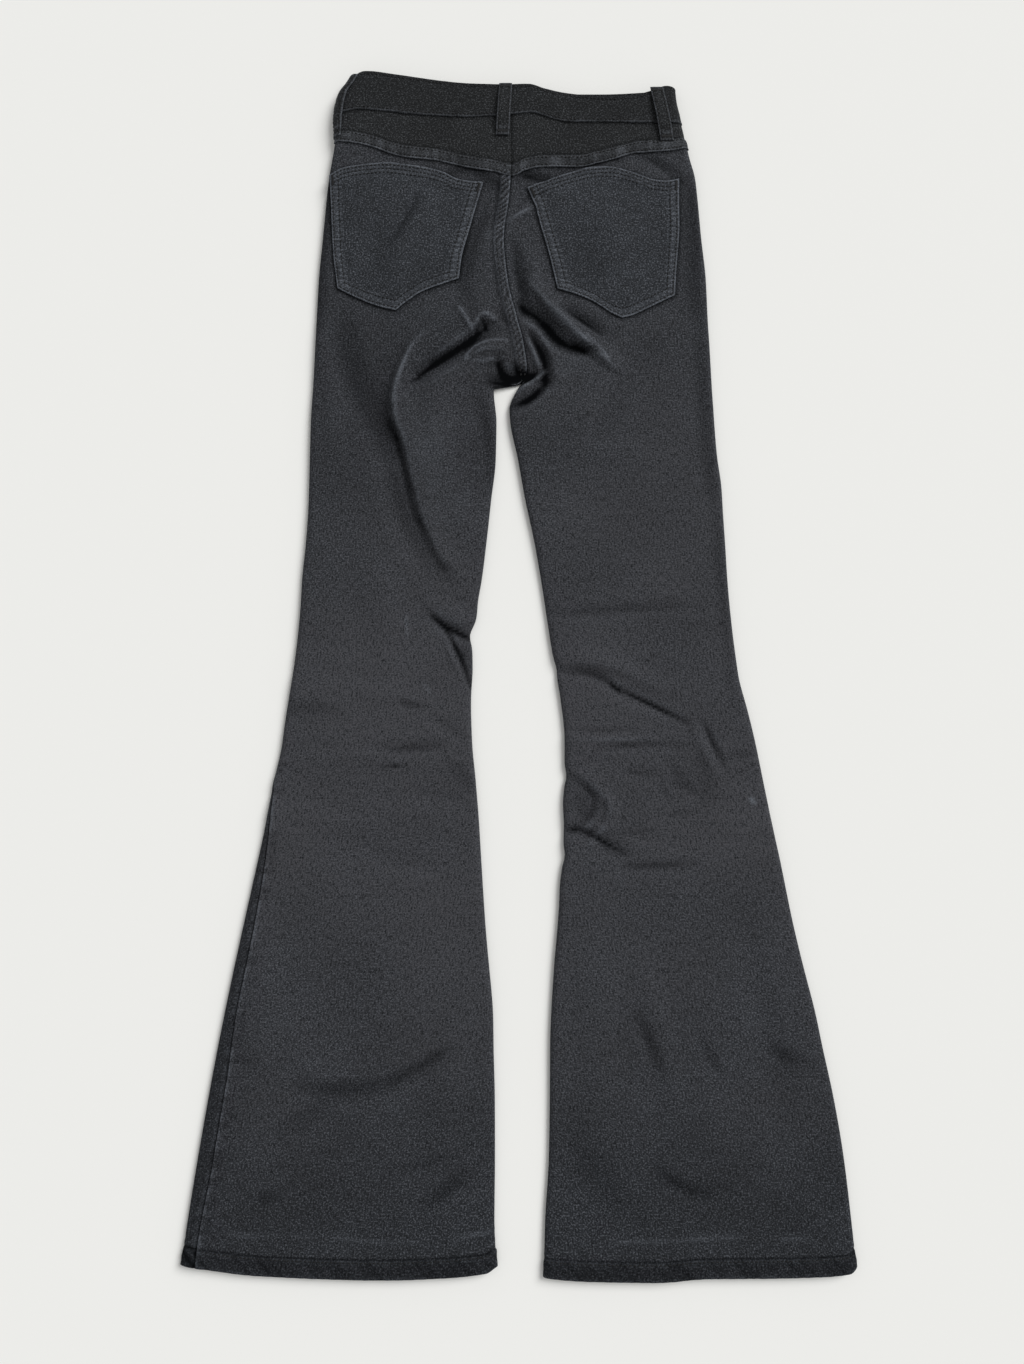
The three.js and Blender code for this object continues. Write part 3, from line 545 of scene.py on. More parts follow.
def oneBow(row, x, y):
    signed, run = nearPath(*bowPoints(row, drape["foldSteps"]), x, y)
    lean = row.get("lean", 0)
    reach = row["half"] * np.where(signed > 0, 1 - lean, 1 + lean)
    away = np.clip(np.abs(signed) / reach, 0, 1)
    profile = lerp((1 - away ** 2) ** 2, (1 - away) ** 2, row.get("sharp", 0))
    return profile * np.sin(math.pi * lerp(drape["fadeEnds"][0], drape["fadeEnds"][1], run))


def addBows(rows, name, x, y):
    # the sum over a table's rows, each worked out only where its bow can reach
    total = np.zeros(x.shape)
    for row in rows:
        reach = row["half"] * (1 + abs(row.get("lean", 0))) + 1
        bowX, bowY = bowPoints(row, drape["boxSteps"])
        near = (x > bowX.min() - reach) & (x < bowX.max() + reach)
        near &= (y > bowY.min() - reach) & (y < bowY.max() + reach)
        if near.any():
            total[near] += row[name] * oneBow(row, x[near], y[near])
    return total


def foldRelief(x, y):
    return addBows(folds, "height", x, y)


def drapeRelief(x, y):
    # the slight unevenness of well-used cloth that has been smoothed out by hand
    loose = smooth((500 - y) / 40) * smooth((y - garment["legFoot"]) / 40)
    broad = drape["broad"] * softNoise(x, y, *drape["broadSize"], 3)
    middle = drape["middle"] * softNoise(x + 0.3 * y, y, *drape["middleSize"], 11)
    knee = smooth((y - drape["kneeFrom"]) / 60) * smooth((drape["kneeTo"] - y) / 60)
    creases = drape["kneeCreases"] * knee * softNoise(x, y + 0.12 * x, *drape["kneeSize"], 21)
    seat = smooth((y - 200) / 40) * smooth((340 - y) / 40) * smooth((90 - np.abs(x)) / 40)
    puckers = drape["seatCreases"] * seat * softNoise(x - y, x + y, *drape["seatSize"], 31)
    return loose * (broad + middle + creases + puckers)


def upperHeight(x, y):
    free = loft(y) + foldRelief(x, y) + drapeRelief(x, y)
    floor = pressed(y)
    over = (free - floor) * drape["softness"]
    return floor + np.logaddexp(0, over) / drape["softness"]


def lowerHeight(y):
    return garment["restRise"] * smooth((y - garment["restEnd"]) / (garment["restFlat"] - garment["restEnd"]))


def legShare(y):
    # 1 where each leg is a tube of its own, 0 where the seat seam lies in the open cloth
    return 1 - smooth((y - garment["crotchLow"]) / (garment["crotchTop"] - garment["crotchLow"]))


def ringLength(side, y, top):
    reach = garment["topRound"] if top else garment["lowRound"]
    return np.abs(innerEdge(side, y) - outerEdge(side, y)) + (math.pi / 2 - 1) * reach * (1 + legShare(y))


def ringPoint(side, along, y):
    # along is measured round the flattened tube from its outer edge, negative along the underside
    top = along >= 0
    reach = np.where(top, garment["topRound"], garment["lowRound"])
    outer = outerEdge(side, y)
    width = np.abs(innerEdge(side, y) - outer)
    legs = legShare(y)
    length = width + (math.pi / 2 - 1) * reach * (1 + legs)
    run = np.minimum(np.abs(along), length)
    arc = reach * math.pi / 2
    inArc = run < arc
    depth = np.where(inArc, reach * (1 - np.cos(run / reach)), reach + run - arc)
    rise = np.where(inArc, np.sin(np.minimum(run, arc) / reach), 1.0)
    innerArc = reach * (1 + (math.pi / 2 - 1) * legs)
    left = length - run
    turn = np.clip(left / innerArc, 0, 1) * math.pi / 2
    inside = lerp(reach * left / innerArc, reach * (1 - np.cos(turn)), legs)
    depth = np.where(left < innerArc, width - inside, depth)
    rise = rise * np.where(left < innerArc, 1 - legs * (1 - np.sin(turn)), 1)
    x = outer + inward[side] * depth
    edge = seamHeight(y)
    flat = np.where(top, upperHeight(x, y), lowerHeight(y))
    return np.stack((x, y, edge + (flat - edge) * rise), axis=-1)


def skin(side, along, y, out=0.0):
    # the same point moved out of the cloth by out
    along, y = np.broadcast_arrays(np.asarray(along, float), np.asarray(y, float))
    topEnd = ringLength(side, y, True)
    lowEnd = -ringLength(side, y, False)
    ahead = ringPoint(side, np.minimum(along + 0.4, topEnd), y)
    behind = ringPoint(side, np.maximum(along - 0.4, lowEnd), y)
    up = ringPoint(side, along, y + 0.8)
    down = ringPoint(side, along, y - 0.8)
    facing = np.cross(ahead - behind, up - down)
    facing /= np.maximum(np.linalg.norm(facing, axis=-1, keepdims=True), 1e-9)
    push = inward[side] * np.broadcast_to(out, y.shape)
    return ringPoint(side, along, y) + facing * push[..., None]


def alongAt(side, x, y):
    # place round the top at a given x
    depth = np.maximum(np.abs(x - outerEdge(side, y)), 0)
    reach = garment["topRound"]
    inArc = reach * np.arccos(np.clip(1 - depth / reach, -1, 1))
    return np.where(depth < reach, inArc, depth + reach * (math.pi / 2 - 1))


def topSkin(x, y, out=0.0):
    x, y, out = np.broadcast_arrays(*(np.asarray(value, float) for value in (x, y, out)))
    isLeft = x < innerEdge("left", y)
    onLeft = skin("left", alongAt("left", x, y), y, out)
    onRight = skin("right", alongAt("right", x, y), y, out)
    return np.where(isLeft[..., None], onLeft, onRight)


# The row's own frame, found from the button, whose place in the garment is known.
buttonLow, buttonHigh = (np.array(corner, float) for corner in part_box("waist_button"))
rowShift = (buttonLow + buttonHigh) / 2 * 1000 - np.array((garment["buttonX"], garment["buttonY"], 0))
rowShift[2] = 0


def toMetres(points):
    return (points + rowShift) * 0.001


# Finishes

denimLooks = {
    "denim": {
        "deep": (0.0050, 0.0058, 0.0072), "plain": (0.0235, 0.0265, 0.0315), "fleck": (0.145, 0.155, 0.175),
        "wornAndHighlight": (0.150, 0.165, 0.190), "faded": (0.062, 0.062, 0.069), "roughness": 0.9, "sheen": 0.05,
    },
    "denim_band": {
        "deep": (0.0042, 0.0046, 0.0050), "plain": (0.0150, 0.0162, 0.0172), "fleck": (0.100, 0.106, 0.114),
        "wornAndHighlight": (0.120, 0.130, 0.148), "faded": (0.034, 0.034, 0.035), "roughness": 0.92, "sheen": 0.04,
    },
}
weave = {
    "twillScale": 470.0, "fleckScale": 680.0, "slubScale": (760.0, 170.0), "patchScale": 13.0,
    "mottleScale": 95.0, "bumpDepth": 0.0004,
}


def newMaterial(name):
    # the material, and a function that adds a node with its inputs and settings
    material = bpy.data.materials.new(name)
    material.use_nodes = True
    tree = material.node_tree
    tree.nodes.clear()

    def make(kind, inputs=None, **settings):
        node = tree.nodes.new(kind)
        for name, value in settings.items():
            setattr(node, name, value)
        for key, value in (inputs or {}).items():
            if isinstance(value, bpy.types.NodeSocket):
                tree.links.new(value, node.inputs[key])
            else:
                node.inputs[key].default_value = value
        return node

    return material, make


def colour(rgb):
    return (rgb[0], rgb[1], rgb[2], 1.0)


def denimMaterial(name, look):
    material, make = newMaterial(name)

    def mix(factor, first, second, blend="MIX"):
        node = make("ShaderNodeMix", {0: factor, 6: first, 7: second}, data_type="RGBA", blend_type=blend)
        return node.outputs[2]

    def maths(operation, first, second=0.0, clamp=False):
        inputs = {0: first, 1: second}
        return make("ShaderNodeMath", inputs, operation=operation, use_clamp=clamp).outputs[0]

    def between(value, low, high):
        inputs = {"Value": value, "From Min": low, "From Max": high}
        return make("ShaderNodeMapRange", inputs, clamp=True).outputs[0]

    def attribute(label):
        return make("ShaderNodeAttribute", attribute_name=label).outputs["Fac"]

    def noise(place, scale, detail):
        return make("ShaderNodeTexNoise", {"Vector": place, "Scale": scale, "Detail": detail}).outputs[0]

    cloth = make("ShaderNodeUVMap", uv_map="cloth").outputs["UV"]
    slubs = make("ShaderNodeMapping", {"Vector": cloth, "Scale": (*weave["slubScale"], 1.0)}).outputs[0]
    ribs = {"Vector": cloth, "Scale": weave["twillScale"], "Distortion": 1.2, "Detail": 1.0}
    twill = make("ShaderNodeTexWave", ribs, wave_type="BANDS", bands_direction="DIAGONAL").outputs["Fac"]
    fleck = noise(cloth, weave["fleckScale"], 2.0)
    slub = noise(slubs, 1.0, 2.0)
    mottle = noise(cloth, weave["mottleScale"], 3.0)
    patch = noise(cloth, weave["patchScale"], 2.0)

    # dark ground, yarn by yarn, with pale flecks where the weft shows
    yarn = between(maths("ADD", maths("MULTIPLY", slub, 0.5), maths("MULTIPLY", fleck, 0.5)), 0.36, 0.60)
    ground = mix(yarn, colour(look["deep"]), colour(look["plain"]))
    pale = maths("MULTIPLY", between(fleck, 0.52, 0.68), maths("ADD", 0.30, maths("MULTIPLY", twill, 0.45)))
    ground = mix(pale, ground, colour(look["fleck"]))
    tone = maths("ADD", maths("MULTIPLY", patch, 0.45), maths("MULTIPLY", mottle, 0.4))
    tones = {"Value": tone, "From Min": 0.30, "From Max": 0.55, "To Min": 0.72, "To Max": 1.25}
    shade = make("ShaderNodeMapRange", tones, clamp=True).outputs[0]
    grey = make("ShaderNodeCombineColor", {0: shade, 1: shade, 2: shade}).outputs[0]
    ground = mix(1.0, ground, grey, "MULTIPLY")
    faint = maths("MULTIPLY", attribute("fade"), between(maths("ADD", fleck, slub), 0.70, 1.25))
    ground = mix(faint, ground, colour(look["faded"]))
    # rubbed edges, and fold crests made pale as wear and as a painted highlight, broken up by the weave
    broken = between(maths("ADD", fleck, maths("MULTIPLY", mottle, 0.5)), 0.45, 0.95)
    rubbedAndHighlit = maths("MULTIPLY", attribute("wear"), broken, clamp=True)
    ground = mix(rubbedAndHighlit, ground, colour(look["wornAndHighlight"]))
    relief = maths("ADD", maths("MULTIPLY", twill, 0.5), maths("ADD", maths("MULTIPLY", slub, 0.5), fleck))
    bump = make("ShaderNodeBump", {"Height": relief, "Strength": 0.8, "Distance": weave["bumpDepth"]})
    surface = make("ShaderNodeBsdfPrincipled", {
        "Base Color": ground,
        "Roughness": maths("ADD", look["roughness"] - 0.05, maths("MULTIPLY", mottle, 0.1)),
        "Normal": bump.outputs[0],
        "Specular IOR Level": 0.22,
        "Sheen Weight": look["sheen"],
        "Sheen Roughness": 0.45,
        "Sheen Tint": (0.75, 0.82, 1.0, 1.0),
    })
    # painted shade: where the shade mask is high the cloth turns into a near-black matte surface that stands
    # in for the shadow in creases, hollows and under edges
    shadeSurface = make("ShaderNodeBsdfPrincipled", {
        "Base Color": colour([value * 0.3 for value in look["deep"]]),
        "Roughness": 1.0,
        "Specular IOR Level": 0.04,
    })
    both = make("ShaderNodeMixShader", {0: attribute("deep"), 1: surface.outputs[0], 2: shadeSurface.outputs[0]})
    make("ShaderNodeOutputMaterial", {"Surface": both.outputs[0]})
    return material


# near-black thread, darker than the cloth, so the stitch rows also stand in for the shade in the stitch holes
threadLook = {
    "dark": (0.0012, 0.0012, 0.0014), "light": (0.0045, 0.0045, 0.0052), "roughness": 0.7, "plyScale": 2600.0,
}
metalLook = {"bright": (0.42, 0.40, 0.37), "dull": (0.16, 0.15, 0.14), "roughness": 0.36, "grainScale": 900.0}


def threadMaterial(look):
    material, make = newMaterial("thread")
    place = make("ShaderNodeTexCoord").outputs["Object"]
    ply = make("ShaderNodeTexNoise", {"Vector": place, "Scale": look["plyScale"], "Detail": 1.0}).outputs[0]
    colours = {0: ply, 6: colour(look["dark"]), 7: colour(look["light"])}
    tint = make("ShaderNodeMix", colours, data_type="RGBA")
    bump = make("ShaderNodeBump", {"Height": ply, "Strength": 0.5, "Distance": 0.0001})
    surface = make("ShaderNodeBsdfPrincipled", {
        "Base Color": tint.outputs[2], "Roughness": look["roughness"], "Normal": bump.outputs[0],
        "Specular IOR Level": 0.35,
    })
    make("ShaderNodeOutputMaterial", {"Surface": surface.outputs[0]})
    return material


def metalMaterial(look):
    material, make = newMaterial("tackMetal")
    place = make("ShaderNodeTexCoord").outputs["Object"]
    pits = {"Vector": place, "Scale": look["grainScale"], "Detail": 3.0}
    grain = make("ShaderNodeTexNoise", pits).outputs[0]
    colours = {0: grain, 6: colour(look["dull"]), 7: colour(look["bright"])}
    tint = make("ShaderNodeMix", colours, data_type="RGBA")
    bump = make("ShaderNodeBump", {"Height": grain, "Strength": 0.25, "Distance": 0.0001})
    surface = make("ShaderNodeBsdfPrincipled", {
        "Base Color": tint.outputs[2], "Roughness": look["roughness"], "Normal": bump.outputs[0],
        "Metallic": 1.0,
    })
    make("ShaderNodeOutputMaterial", {"Surface": surface.outputs[0]})
    return material


finishes = {name: denimMaterial(name, look) for name, look in denimLooks.items()}
finishes["thread"] = threadMaterial(threadLook)
finishes["tack_metal"] = metalMaterial(metalLook)
print("2. form and finishes ready")

# Making cloth: a bmesh grid whose vertices are laid on the garment's skin, then given its thickness.


def evenLines(count):
    return np.linspace(0, 1, count + 1)


def layCloth(name, columns, rows, place, thickness, roundRim=0.0):
    grid = bmesh.new()
    bmesh.ops.create_grid(grid, x_segments=len(columns) - 1, y_segments=len(rows) - 1, size=0.5)
    mesh = bpy.data.meshes.new(name)
    grid.to_mesh(mesh)
    grid.free()
    flat = np.empty(len(mesh.vertices) * 3)
    mesh.vertices.foreach_get("co", flat)
    flat = flat.reshape(-1, 3) + 0.5
    u = np.asarray(columns)[np.rint(flat[:, 0] * (len(columns) - 1)).astype(int)]
    v = np.asarray(rows)[np.rint(flat[:, 1] * (len(rows) - 1)).astype(int)]
    laid = place(u, v)
    mesh.vertices.foreach_set("co", toMetres(laid["points"]).ravel())

    corners = np.empty(len(mesh.loops), int)
    mesh.loops.foreach_get("vertex_index", corners)
    layer = mesh.uv_layers.new(name="cloth")
    layer.data.foreach_set("uv", (laid["flat"] * 0.001)[corners].ravel())
    for label in ("wear", "deep", "fade"):
        values = np.clip(np.broadcast_to(laid.get(label, 0.0), u.shape), 0, 1).astype(np.float32)
        mesh.attributes.new(label, "FLOAT", "POINT").data.foreach_set("value", values)

    piece = addObject(name, mesh)
    if "share" in laid:
        group = piece.vertex_groups.new(name="share")
        share = np.broadcast_to(laid["share"], u.shape)
        for level in np.unique(np.round(share, 2)):
            group.add(np.nonzero(np.round(share, 2) == level)[0].tolist(), float(level), "REPLACE")
    wall = piece.modifiers.new("wall", "SOLIDIFY")
    wall.thickness = thickness * 0.001
    wall.offset = -1.0
    if "share" in laid:
        wall.vertex_group = "share"
    if roundRim:
        rim = piece.modifiers.new("rim", "BEVEL")
        rim.width = roundRim * 0.001
        rim.segments = 2
        rim.limit_method = "ANGLE"
        rim.angle_limit = math.radians(60)
    return applyModifiers(piece)


def applyModifiers(piece, sharpDegrees=55):
    finished = bpy.data.meshes.new_from_object(piece.evaluated_get(bpy.context.evaluated_depsgraph_get()))
    piece.modifiers.clear()
    piece.vertex_groups.clear()
    piece.data = finished
    finished.shade_smooth()
    finished.set_sharp_from_angle(angle=math.radians(sharpDegrees))
    return piece


def declare(piece, node, slotName):
    piece.data.materials.clear()
    piece.data.materials.append(finishes[slotName])
    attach(piece, "root")
    if node:
        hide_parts(node)


def columnPlaces(nearStart, middle, nearEnd):
    # share of the way across and millimetres beside it, close together near both edges
    shares = [0.0] * len(nearStart) + [1.0] * len(nearEnd)
    offsets = list(nearStart) + [-offset for offset in nearEnd]
    first, last = nearStart[-1], nearEnd[-1]
    for k in range(1, middle):
        share = k / middle
        shares.append(share)
        offsets.append(first * (1 - share) - last * share)
    order = np.argsort([share * 1000 + offset for share, offset in zip(shares, offsets)], kind="stable")
    return np.array(shares)[order], np.array(offsets)[order]


def layAcross(side, startAt, endAt, share, offset, level, bend):
    y = level.copy()
    for _ in range(6):
        along = lerp(startAt(y), endAt(y), share) + offset
        y = bend(level, ringPoint(side, along, y)[:, 0])
    along = lerp(startAt(y), endAt(y), share) + offset
    return along, y


def panelLines(count):
    return np.arange(count, dtype=float)


def towardsViewer(side, columns):
    # the right half runs the other way round, so its columns are turned to keep its faces outwards
    return columns if side == "left" else columns[::-1]


def crests(x, y, reach=5.0):
    # how far the cloth stands out from its surroundings, in millimetres
    around = sum(foldRelief(x + dx, y + dy) for dx, dy in ((reach, 0), (-reach, 0), (0, reach), (0, -reach)))
    return foldRelief(x, y) - around / 4


fadeLook = {
    "overall": 0.34, "knees": 0.60, "kneeHeight": -120.0, "kneeReach": 200.0, "rightThigh": 0.18,
    "patchSize": (70, 60), "patch": 0.30, "hemFrom": -520.0, "hemTo": -400.0,
}


def fading(x, y):
    # the knees and the right thigh are washed palest, the hems stay dark
    look = fadeLook
    knees = look["knees"] * bell(y - look["kneeHeight"], look["kneeReach"])
    thigh = look["rightThigh"] * bell(y - 150, 90) * smooth(x / 60)
    patch = 1 + look["patch"] * softNoise(x, y, *look["patchSize"], 41)
    hems = smooth((y - look["hemFrom"]) / (look["hemTo"] - look["hemFrom"]))
    return np.clip((look["overall"] * (0.3 + 0.7 * hems) + knees + thigh) * patch, 0, 1)


def pocketRim(corners):
    return (*corners["foot"], *corners["nearRight"], *corners["mouth"][::-1], *corners["nearLeft"][::-1])


# Back legs, with the seat. The left one carries the felled seat seam.

backLegLook = {
    "left": {"cut": (0.305, 1.030), "area": 0.236, "columns": 84},
    "right": {"cut": (0.305, 1.030), "area": 0.236, "columns": 84},
    "upperLevel": 466.0,
    # height that a stretch of rows ends at, and the step between its rows
    "rows": ((-519, 1.6), (-230, 4.0), (60, 2.7), (140, 3.2), (232, 2.2), (258, 1.0), (446, 2.0), (466, 1.6)),
    "underYoke": 5.0,
    "seatFrom": 249, "seatEase": 8,
    "rollFrom": -105, "rollEase": 30,
    "felledWidth": 9.0,
    "felledRise": 1.0,
    "seatRows": (2.4, 6.6),
    "ropePitch": 5.6,
    "ropeDepth": 0.55,
    "hemRise": 0.75,
    "hemTwist": 9.5,
    "hemPucker": 0.4,
    "oldHemAbove": 31.0,
    "seamPucker": 0.42,
    "wear": 0.85,
    "pocketShade": 0.6,
    "lowShade": 0.13,
    "nearEdge": (0, 1.2, 2.4, 3.6, 4.8, 6.2, 7.6, 9, 10.5, 12.5),
}


def legLevels(stretches):
    levels = [np.array([garment["legFoot"]])]
    for end, step in stretches:
        start = levels[-1][-1]
        levels.append(np.linspace(start, end, max(1, round((end - start) / step)) + 1)[1:])
    return np.concatenate(levels)


def bentLevel(level, x, high, upperEdge):
    toTop = smooth((level - (high - 190)) / 190)
    toHem = smooth((garment["legFoot"] + 90 - level) / 90)
    return level + toTop * (upperEdge(x) - high) + toHem * (hemLine(x) - garment["legFoot"])


def hemForm(x, y, look):
    # turned-up hem: thicker, roped by its stitching, with the ghost of an older crease over it
    over = y - hemLine(x)
    band = smooth((garment["hemDepth"] - over) / 1.6)
    rope = softNoise(x + 0.9 * over, over * 0 + 2, look["hemTwist"] / 2, 1.0, 5)
    rope = 0.6 * rope + 0.4 * np.sin(2 * math.pi * (x + 0.9 * over) / look["hemTwist"])
    groove = bell(over - garment["hemDepth"] - 0.6, 1.2)
    ghost = bell(over - look["oldHemAbove"] - 2.5 * softNoise(x, x * 0, 40, 1, 9), 1.7)
    ghost = ghost * smooth(0.30 + softNoise(x, x * 0 + 4, 34, 1, 12))
    out = band * look["hemRise"] * (1 + 0.5 * rope) + 0.35 * ghost - 0.35 * groove
    out = out + look["hemPucker"] * rope * bell(over - garment["hemDepth"] - 4, 5)
    wear = 0.55 * bell(over - garment["hemDepth"] + 1.0, 1.2) * (0.6 + 0.4 * rope)
    wear = wear + 0.30 * ghost + 0.45 * bell(over - 0.6, 1.3) * (0.6 + 0.5 * rope)
    # painted shade in the groove above the hem and in the troughs of its roping, and the hem band a little
    # darker
    deep = 0.65 * groove + 0.30 * band + 0.35 * band * np.clip(-rope, 0, 1)
    return out, wear, deep


def hemShare(x, y):
    # the wall is at its full thickness in the hem only
    inHem = smooth((garment["hemDepth"] - y + hemLine(x)) / 2)
    return lerp(garment["denim"] / garment["hemCloth"], 1.0, inHem)


def rollShare(y):
    # 1 where the left side seam has rolled up onto the top
    return smooth((backLegLook["rollFrom"] - y) / backLegLook["rollEase"])


def sideRipple(y):
    # puckers along the side and seat seams
    return backLegLook["seamPucker"] * softNoise(y, y * 0, 4.2, 1, 7)


def backLeg(side):
    look = backLegLook
    edge = look["nearEdge"]
    share, offset = columnPlaces(edge, look[side]["columns"], edge)
    levels = legLevels(look["rows"])
    startAt = seamRoll if side == "left" else (lambda y: y * 0)

    def upperEdge(x):
        return yokeSeam(x) + look["underYoke"]

    def place(u, v):
        k = u.astype(int)
        along, y = layAcross(
            side, startAt, lambda spot: ringLength(side, spot, True), share[k], offset[k],
            levels[v.astype(int)],
            lambda rows, x: bentLevel(rows, x, look["upperLevel"], upperEdge),
        )
        x = ringPoint(side, along, y)[:, 0]
        fromOuter = along - startAt(y)
        fromInner = ringLength(side, y, True) - along
        out, wear, deep = hemForm(x, y, look)
        seat = smooth((y - look["seatFrom"]) / look["seatEase"])
        ripple = sideRipple(y)
        if side == "left":
            # felled seam, roped by its stitching
            felled = seat * smooth((look["felledWidth"] - fromInner) / 1.6)
            slant = (y + 0.9 * fromInner) / look["ropePitch"] + 0.7 * softNoise(y, y * 0 + 6, 17, 1, 33)
            rope = np.sin(2 * math.pi * slant) * lerp(0.55, 1.0, smooth((y - 380) / 20))
            out = out + felled * (look["felledRise"] + look["ropeDepth"] * rope * bell(fromInner - 4.5, 4))
            wear = wear + seat * 0.95 * bell(fromInner, 1.0)
            wear = wear + seat * 0.3 * bell(fromInner - look["felledWidth"], 1.3)
            wear = wear + felled * 0.62 * np.clip(rope, 0, 1)
            # painted shade in the troughs of the roping and beside the felled band's edge
            deep = deep + felled * 0.50 * np.clip(-rope, 0, 1)
            deep = deep + seat * 0.5 * bell(fromInner - look["felledWidth"] - 1.6, 1.8)
            # side seam on top
            rolled = rollShare(y)
            out = out + rolled * (0.75 * bell(fromOuter - 2.2, 2.6) + 1.3 * ripple * bell(fromOuter, 8))
            wear = wear + rolled * 0.55 * bell(fromOuter - 1.0, 1.2) * (0.55 + 0.45 * np.sign(ripple))
            # painted shade in the troughs beside the rolled seam
            deep = deep + rolled * 0.25 * bell(fromOuter - 5.5, 3) * (ripple < 0)
        else:
            out = out - seat * 0.35 * bell(fromInner, 1.6)
            # painted shadow under the left panel's lapped edge
            deep = deep + seat * 0.8 * bell(fromInner, 1.5)
        yokeGap = yokeSeam(x) - y
        puckers = look["seamPucker"] * softNoise(x, y * 0, 4.5, 1, 8)
        out = out + 0.9 * puckers * np.exp(-np.abs(yokeGap - 2) / 6)
        # painted shade under the yoke's edge and round the pocket's edge; darker low on the leg and on the
        # left thigh
        thigh = (smooth((y - 90) / 60) - smooth((y - 290) / 60)) * smooth((-20 - x) / 30)
        deep = deep + 0.6 * bell(yokeGap, 1.6) + look["lowShade"] * (smooth((-360 - y) / 130) + 0.7 * thigh)
        fromPocket, _ = nearPath(*np.array(pocketRim(pocketEdges[side])).T, x, y)
        deep = deep + look["pocketShade"] * bell(fromPocket, 2.6)
        # painted shade in hollows and creases, and fold crests made pale as wear and as painted highlight
        relief = crests(x, y)
        wear = wear + look["wear"] * np.clip((relief - 0.55) / 2.2, 0, 0.5)
        deep = deep + np.clip((-relief - 0.5) / 2.4, 0, 0.6)
        shade = addBows(shades, "tone", x, y)
        wear = wear + np.clip(-shade, 0, 1)
        deep = deep + np.clip(shade, 0, 1)
        return {
            "points": skin(side, along, y, out), "flat": np.stack((along, y), axis=-1),
            "share": hemShare(x, y), "wear": wear, "deep": deep, "fade": fading(x, y),
        }

    columns = towardsViewer(side, panelLines(len(share)))
    piece = layCloth(f"{side}BackLeg", columns, panelLines(len(levels)), place, garment["hemCloth"])
    declare(piece, f"back_leg_{side}", "denim")


for side in ("left", "right"):
    backLeg(side)
print("3. back legs laid")

# Front legs, underneath. The left one shows where the side seam has rolled onto the top.

frontLegLook = {
    "left": {"cut": (0.300, 1.050), "area": 0.238, "columns": 40},
    "right": {"cut": (0.290, 1.050), "area": 0.226, "columns": 40},
    "upperLevel": 496.0,
    "rows": ((-519, 1.8), (232, 4.0), (258, 1.3), (476, 4.0), (496, 1.8)),
    "scoopWidth": 92.0,
    "scoopDepth": 74.0,
    "underBand": 4.0,
    "stripDeep": 0.34,
    "nearInner": (0, 1.2, 2.4, 3.6, 4.8),
    "nearOuter": {"left": tuple(np.arange(0, 30, 1.5)), "right": (0, 1.2, 2.4, 3.6, 5.0)},
}


def scoop(fromOuter, width, depth):
    return depth * np.sqrt(1 - np.clip(fromOuter / width, 0, 1) ** 2)


def frontEdge(side, x, width, depth):
    fromOuter = np.abs(x - outerEdge(side, x * 0 + 470))
    return frontBandSeam(x) - scoop(fromOuter, width, depth)


def frontLeg(side):
    look = frontLegLook
    share, offset = columnPlaces(look["nearInner"], look[side]["columns"], look["nearOuter"][side])
    levels = legLevels(look["rows"])
    roll = seamRoll if side == "left" else (lambda y: y * 0)

    def upperEdge(x):
        fromScoop = smooth((np.abs(x - outerEdge(side, x * 0 + 470)) - look["scoopWidth"]) / 6)
        return frontEdge(side, x, look["scoopWidth"], look["scoopDepth"]) + look["underBand"] * fromScoop

    def place(u, v):
        k = u.astype(int)
        along, y = layAcross(
            side, lambda spot: -ringLength(side, spot, False), roll, share[k], offset[k],
            levels[v.astype(int)],
            lambda rows, x: bentLevel(rows, x, look["upperLevel"], upperEdge),
        )
        x = ringPoint(side, along, y)[:, 0]
        out, wear, deep = hemForm(x, y, backLegLook)
        below = np.where(along < 0, 0.3, 1.0)          # the underside rests flat
        out = out * below
        toSeam = roll(y) - along
        rolled = rollShare(y) if side == "left" else y * 0
        ripple = sideRipple(y)
        out = out + rolled * (0.5 * bell(toSeam - 2.4, 2.4) + 1.3 * ripple * bell(toSeam, 8))
        out = out - rolled * 0.5 * bell(toSeam, 0.9)
        # painted shade along the seam where it rolls over, and the strip of front leg beside it darker
        deep = deep + rolled * (0.7 * bell(toSeam, 1.2) + look["stripDeep"])
        wear = wear + rolled * 0.3 * bell(toSeam - 2.6, 1.5) * (ripple > 0)
        return {
            "points": skin(side, along, y, out), "flat": np.stack((along, y), axis=-1),
            "share": hemShare(x, y), "wear": wear, "deep": deep, "fade": 0.6 * fading(x, y),
        }

    columns = towardsViewer(side, panelLines(len(share)))
    piece = layCloth(f"{side}FrontLeg", columns, panelLines(len(levels)), place, garment["hemCloth"])
    declare(piece, f"front_leg_{side}", "denim")


for side in ("left", "right"):
    frontLeg(side)
print("4. front legs laid")

# Yokes, with the felled seam along their lower edge

yokeLook = {
    "cut": (0.190, 0.058),
    "area": {"left": 0.0086, "right": 0.0080},
    "columns": 116,
    "rows": 44,
    "felledWidth": 11.0,
    "felledRise": 1.35,
    "restRise": 0.1,
    "underBand": 3.0,
    "pucker": 0.4,
    "stitchRows": (2.1, 9.3),
}


